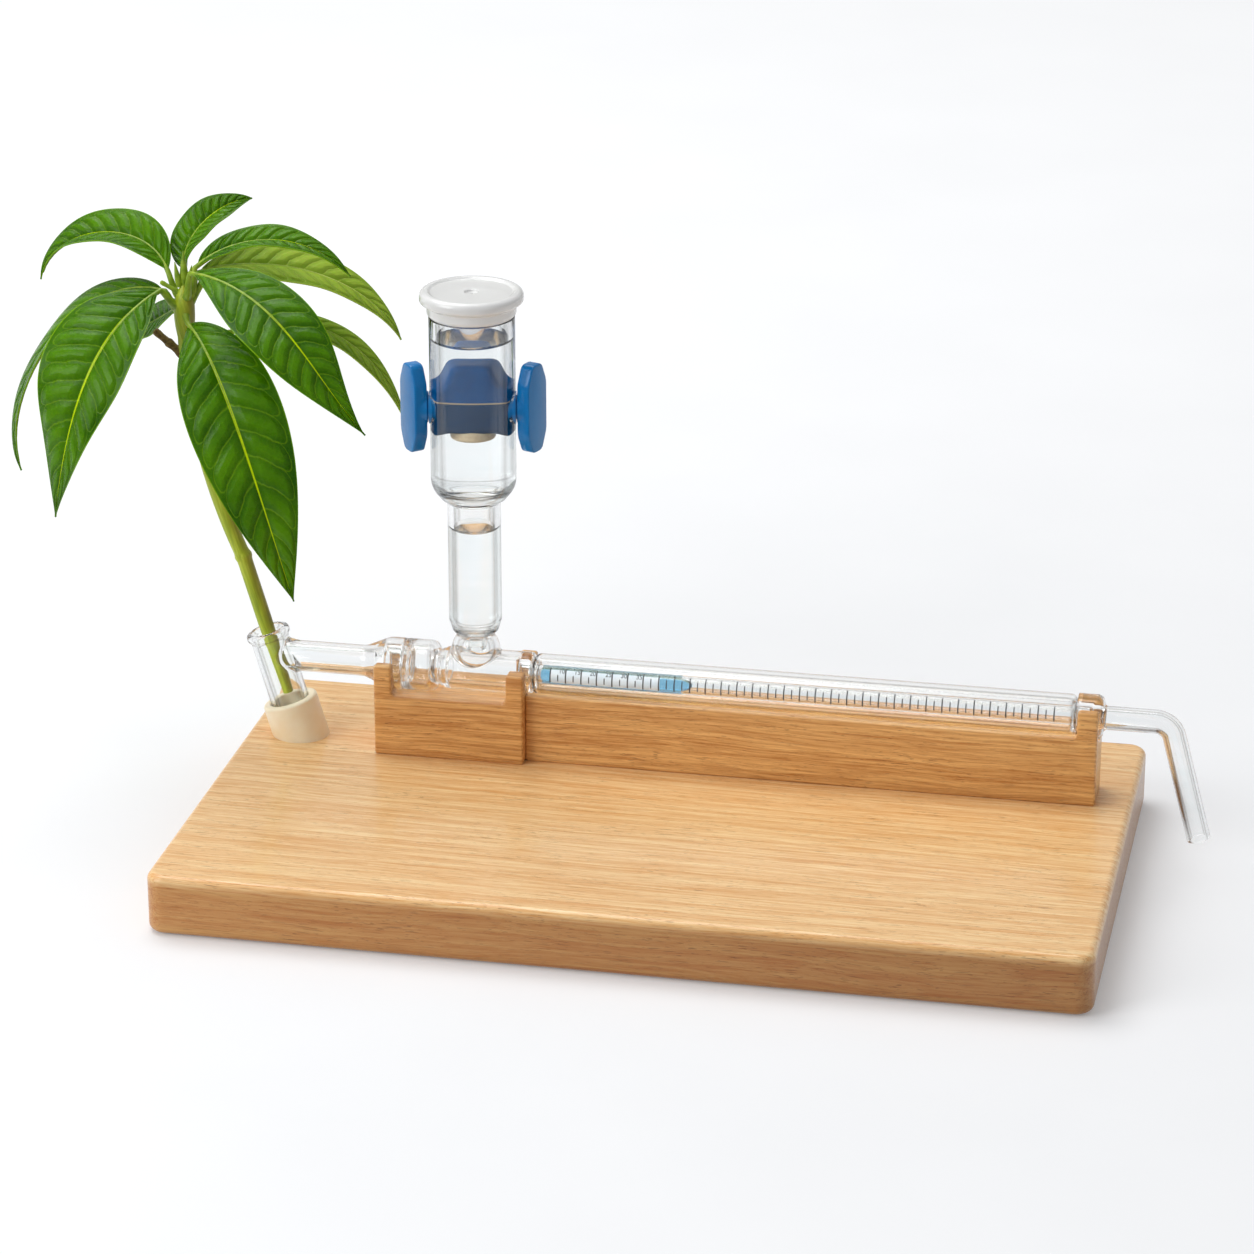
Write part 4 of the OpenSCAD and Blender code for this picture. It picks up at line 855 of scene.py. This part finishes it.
def through(points, t):
    """A smooth line through four points, which it passes at 0, 1/3, 2/3 and 1."""
    a, b, c = t - 1 / 3, t - 2 / 3, t - 1
    return (points[0] * a * b * c * -4.5 + points[1] * t * b * c * 13.5
            + points[2] * t * a * c * -13.5 + points[3] * t * a * b * 4.5)


def away_from_stem(bearing, rise=0):
    """The way out of the stem at a bearing in degrees round it."""
    way = Vector((cos(radians(bearing)), sin(radians(bearing)), rise))
    return (in_vessel.to_3x3() @ way).normalized()


def leaf(node, points, half_widths, face, fold, peak, full, low, bearing, over=False):
    """One leaf: midrib points from the stem's top, the half widths of its two sides, the way
    it faces, how far it is folded, where it is widest and how full, and how far below the top
    and at what bearing its stalk grows. A leaf that is turned over shows its underside."""
    points = [Vector(p) for p in points]
    face = Vector(face).normalized()

    def way(t):
        return (through(points, t + 0.001) - through(points, t - 0.001)).normalized()

    out = away_from_stem(bearing)
    root = stem_at(stem_high - low) - stem_top + out * (stem_r(stem_high - low) - 1.2)
    start, first = points[0], way(0)
    reach = (start - root).length * 0.8

    def stalk(t):
        h = 1 - t
        return (root * h * h * (1 + 2 * t) + start * t * t * (3 - 2 * t)
                + out * reach * t * h * h - first * reach * t * t * h)

    shape = bmesh.new()
    shape.loops.layers.uv.new("Leaf map")
    grid = bmesh.ops.create_grid(shape, x_segments=104, y_segments=36, size=1,
                                 calc_uvs=True)["verts"]
    ripple = points[3].x / 17
    for v in grid:
        t, u = (v.co.x + 1) / 2, v.co.y
        along = way(t)
        side = along.cross(face).normalized()
        normal = side.cross(along)
        width = max(0.25, half_widths[u > 0] * max(0, sin(pi * t ** peak)) ** full)
        count = veins * (t - vein_lean * abs(u) - vein_curve * u * u)
        between_veins = abs(sin(pi * count)) ** 0.8
        swell = 0.03 * between_veins * max(0, 1 - abs(u / 0.92) ** 5) * min(1, abs(u) * 4)
        wave = 0.045 * u * u * sin(2 * pi * (2.3 * t + ripple) + u)
        groove = -0.35 * exp(-(u * width / 1.1) ** 2) * (1 - t)
        height = width * (fold * abs(u) - 0.12 * u * u + swell + wave) + groove
        v.co = stem_top + through(points, t) + side * width * u + normal * height
    blade = blank(shape, node + "_blade")
    skin = blade.modifiers.new("thickness", "SOLIDIFY")
    skin.thickness, skin.offset = leaf_thick, 0
    skin.material_offset, skin.material_offset_rim = 1, 1
    take_form(blade)
    sides = (lower_side, upper_side) if over else (upper_side, lower_side)
    piece(blade, "shoot", "leaf", *sides, stands_for=[node], crease=60)
    stations = [(stem_top + stalk(t), 0.9 + 0.75 * (1 - t) ** 2)
                for t in (0, 0.12, 0.26, 0.4, 0.55, 0.7, 0.85)]
    for t in [i / 22 for i in range(1, 22)]:
        under = way(t).cross(face).normalized().cross(way(t)) * -(0.3 + 0.35 * (1 - t))
        stations.append((stem_top + through(points, t) + under, 0.25 + 0.62 * (1 - t)))
    shape = bmesh.new()
    tube(shape, stations, 12)
    piece(blank(shape, node + "_stalk"), "shoot", "stem", stalk_green)


leaf("leaf_front", [(2.5, -5, -12), (20.5, -27, -27), (34.5, -35, -61), (42.5, -29, -97)],
     (16.5, 15.5), (0.15, -0.9, 0.4), 0.16, 0.8, 1.15, 9.5, -63)
leaf("leaf_left_front", [(-7.5, -5, -1), (-19.5, -23, -13), (-29.5, -31, -37), (-39.5, -25, -75)],
     (13.5, 19.5), (-0.25, -0.85, 0.5), 0.16, 0.84, 1.1, 6, 214)
leaf("leaf_far_left", [(-8.5, 3, -3), (-39.5, 7, -14), (-59.5, 7, -42), (-60.5, 3, -70)],
     (8, 8), (-0.5, -0.25, 0.8), 0.25, 0.7, 1.1, 8, 165)
leaf("leaf_upper_left", [(-6.5, 3, 4), (-23.5, 13, 12), (-44.5, 19, 7), (-56.5, 21, -8)],
     (7.5, 8.5), (-0.2, -0.42, 0.85), 0.5, 0.68, 1.15, 4, 150)
leaf("leaf_top", [(-1.5, 5, 4), (-0.5, 13, 13), (6.5, 21, 20), (15.5, 29, 22)],
     (8, 8), (-0.5, -0.75, 0.3), 0.35, 0.8, 1, 3, 100)
leaf("leaf_upper_right", [(4.5, 1, 7), (20.5, 7, 14), (38.5, 9, 13), (54.5, 7, 4)],
     (7, 7), (0.1, -0.22, 0.95), 0.35, 0.75, 1.05, 4, 12)
leaf("leaf_right_front", [(4.5, -5, 6), (33.5, -23, 1), (52.5, -31, -16), (68.5, -31, -37)],
     (12, 13.5), (0.42, -0.72, 0.55), 0.14, 0.78, 1.25, 4, -48)
leaf("leaf_right_back", [(3.5, 7, 3), (25.5, 21, 2), (48.5, 29, -7), (65.5, 29, -24)],
     (10, 9), (0.35, -0.25, 0.9), 0.2, 0.8, 1.1, 7, 60, over=True)
leaf("leaf_lower_right", [(13.5, 13, -19), (33.5, 25, -19), (52.5, 31, -31), (66.5, 29, -53)],
     (5, 6.5), (0.4, -0.3, 0.85), 0.2, 0.9, 1.1, 17, 44, over=True)
leaf("leaf_back", [(-4.5, 9, -10), (-13.5, 17, -17), (-23.5, 23, -24), (-33.5, 25, -31)],
     (7, 7), (-0.2, -0.6, 0.8), 0.2, 0.8, 1.1, 11, 117)

# ---- Buds and stub ----
# Three unopened buds stand on the head, and below them three short spurs where leaves have
# dropped. Lower down is the dry stub of a cut twig.
bud_form = ((0, 0.9), (0.12, 1.25), (0.3, 1.35), (0.5, 1.1), (0.7, 0.75), (0.88, 0.4), (1, 0.12))
spur_form = ((0.05, 1.5), (0.25, 1.2), (0.5, 0.95), (0.75, 0.9), (0.88, 1.05), (0.97, 0.85),
             (1, 0.4))


def sprig(shape, root, reach, thick, form):
    """A little shoot from its root; its form gives its thickness along its length."""
    one = bmesh.new()
    tube(one, [(root + reach * t, thick * share) for t, share in form], 12)
    add_shape(shape, one)


shape = bmesh.new()
for across, back, tall, thick in ((0, 0.2, 11, 1.1), (-1.4, -0.8, 7.5, 0.8), (1.3, 0.9, 6, 0.8)):
    sprig(shape, stem_top + Vector((across, back, -0.6)),
          Vector((across * 0.9, back * 0.3, tall + 1)), thick, bud_form)
for low, bearing, rise, long, thick in ((3.5, 195, 1.1, 9, 0.8), (10, 12, 1.0, 14, 1.15),
                                        (11.5, 50, 1.5, 12, 1.0)):
    sprig(shape, stem_at(stem_high - low), away_from_stem(bearing, rise) * long, thick, spur_form)
piece(blank(shape, "buds"), "shoot", "leaf", stalk_green, stands_for=["shoot_buds"])

bark = mottled("Dry bark", (0.3, paint(92, 66, 30)), (0.7, paint(152, 124, 68)), 0.9, 6, 0.65,
               depth=0.5, Roughness=0.75)
knot_high = stem_high - 22.4
knot = stem_at(knot_high) + in_vessel.to_3x3() @ Vector((0.8 - stem_r(knot_high), 0, 0))
way = in_vessel.to_3x3() @ Matrix.Rotation(radians(-34.4), 3, "Y") @ Vector((0, 0, 1))
shape = bmesh.new()
tube(shape, [(knot + way * s, r) for s, r in
             ((-0.8, 1.9), (0.6, 1.75), (2.2, 1.35), (3.6, 1.3), (4.8, 1.5), (5.6, 1.6),
              (6.6, 1.25), (8.6, 1.15), (10, 1.3), (11.2, 1.25), (11.8, 0.9))], 14)
piece(blank(shape, "dry_stub"), "shoot", "bark", bark, stands_for=["twig_stub"])

# ---- Floor, light and camera ----
# A pale paper sweep under soft daylight from the upper left. What glass and gloss mirror of
# the floor and the room is darker towards the viewer, so that clear edges can be read.
bpy.ops.mesh.primitive_plane_add(size=12)
floor = bpy.context.object
floor.data.transform(Matrix.Translation((0, 2, -0.0004)))
floor.name = "paper_floor"


def mirrored(finish, path):
    """1 where gloss mirrors this surface, 0 where it is seen straight or through glass."""
    return times(finish, path["Is Glossy Ray"], minus(finish, 1, path["Is Transmission Ray"]))


finish, shader = new_finish("White paper", Roughness=0.9, Emission_Color=(1, 1, 1, 1))
fibre = noise(finish, 0.01, 3)
colour = tones(finish, fibre, (0.3, paint(224, 225, 227)), (0.7, paint(227, 228, 230)))
path = add_node(finish, "LightPath", {}).outputs
near_side = between(finish, axes_of(finish, in_millimetres(finish))["Y"], -220, -80, 1, 0)
in_gloss = times(finish, mirrored(finish, path), near_side)
looked_at = sums(finish, "MAXIMUM", path["Is Glossy Ray"], path["Is Transmission Ray"])
looked_at = sums(finish, "MAXIMUM", path["Is Camera Ray"], looked_at)
away = add_node(finish, "VectorMath", {0: in_millimetres(finish)},
                operation="LENGTH").outputs["Value"]
glow = plus(finish, between(finish, away, 200, 1200, 0.19, 0.38),
            between(finish, away, 1200, 2600, 0, 0.3))
glow = times(finish, minus(finish, looked_at, in_gloss), glow)
feed(shader, Base_Color=mixed(finish, in_gloss, colour, paint(72, 74, 78)),
     Emission_Strength=glow)
floor.data.materials.append(finish)

room = bpy.data.worlds.new("Studio")
room.use_nodes = True
path = add_node(room, "LightPath", {}).outputs
look = add_node(room, "Mapping", {0: add_node(room, "TexCoord", {}).outputs["Generated"],
                                  "Rotation": (0, 0, radians(-11))}).outputs[0]
look = axes_of(room, look)
level_way = plus(room, times(room, look["X"], look["X"]), times(room, look["Y"], look["Y"]))
level_way = sums(room, "DIVIDE", look["Y"], sums(room, "POWER", level_way, 0.5))
walls = tones(room, between(room, level_way, -1, 1), (0.0, (0.6, 0.61, 0.62, 1)),
              (0.35, (0.52, 0.53, 0.53, 1)), (0.5, (0.4, 0.41, 0.41, 1)),
              (0.6, (0.5, 0.52, 0.51, 1)), (0.74, (1, 1, 1, 1)))
walls = mixed(room, between(room, look["Z"], 0.5, 0.95), walls, (0.8, 0.81, 0.82, 1))
darker = mixed(room, 0.45, walls, (0.1, 0.1, 0.1, 1))
walls = mixed(room, mirrored(room, path), walls, darker)
in_glass = sums(room, "MAXIMUM", path["Is Glossy Ray"], path["Is Transmission Ray"])
light = mixed(room, in_glass, (0.36, 0.365, 0.37, 1), walls)
light = mixed(room, path["Is Camera Ray"], light, (1, 1, 1, 1))
feed(room.node_tree.nodes["Background"], Color=light)


def soft_box(name, place, aim, width, power):
    lamp = bpy.data.lights.new(name, "AREA")
    lamp.size, lamp.energy = width, power
    stand = put_in_scene(name, lamp)
    stand.location = place
    stand.rotation_euler = (Vector(aim) - Vector(place)).to_track_quat("-Z", "Y").to_euler()


soft_box("window", (-0.55, 0.35, 1.5), (-0.03, 0.03, 0.05), 1.2, 16.6)
soft_box("front", (-1.0, -0.85, 0.75), (0, 0, 0.05), 0.8, 7.8)

eye = bpy.data.cameras.new("Camera")
eye.lens, eye.sensor_width = 129.07, 36
camera = put_in_scene("Camera", eye)
camera.location = (0.2566, -1.3148, 0.6144)
camera.rotation_euler = (radians(68.37), 0, radians(11.53))
scene = bpy.context.scene
scene.camera, scene.world = camera, room
scene.view_settings.view_transform = "Standard"
# Light turns back many times inside thick glass before it comes out.
scene.cycles.max_bounces, scene.cycles.glossy_bounces = 24, 16
scene.cycles.transmission_bounces = 24
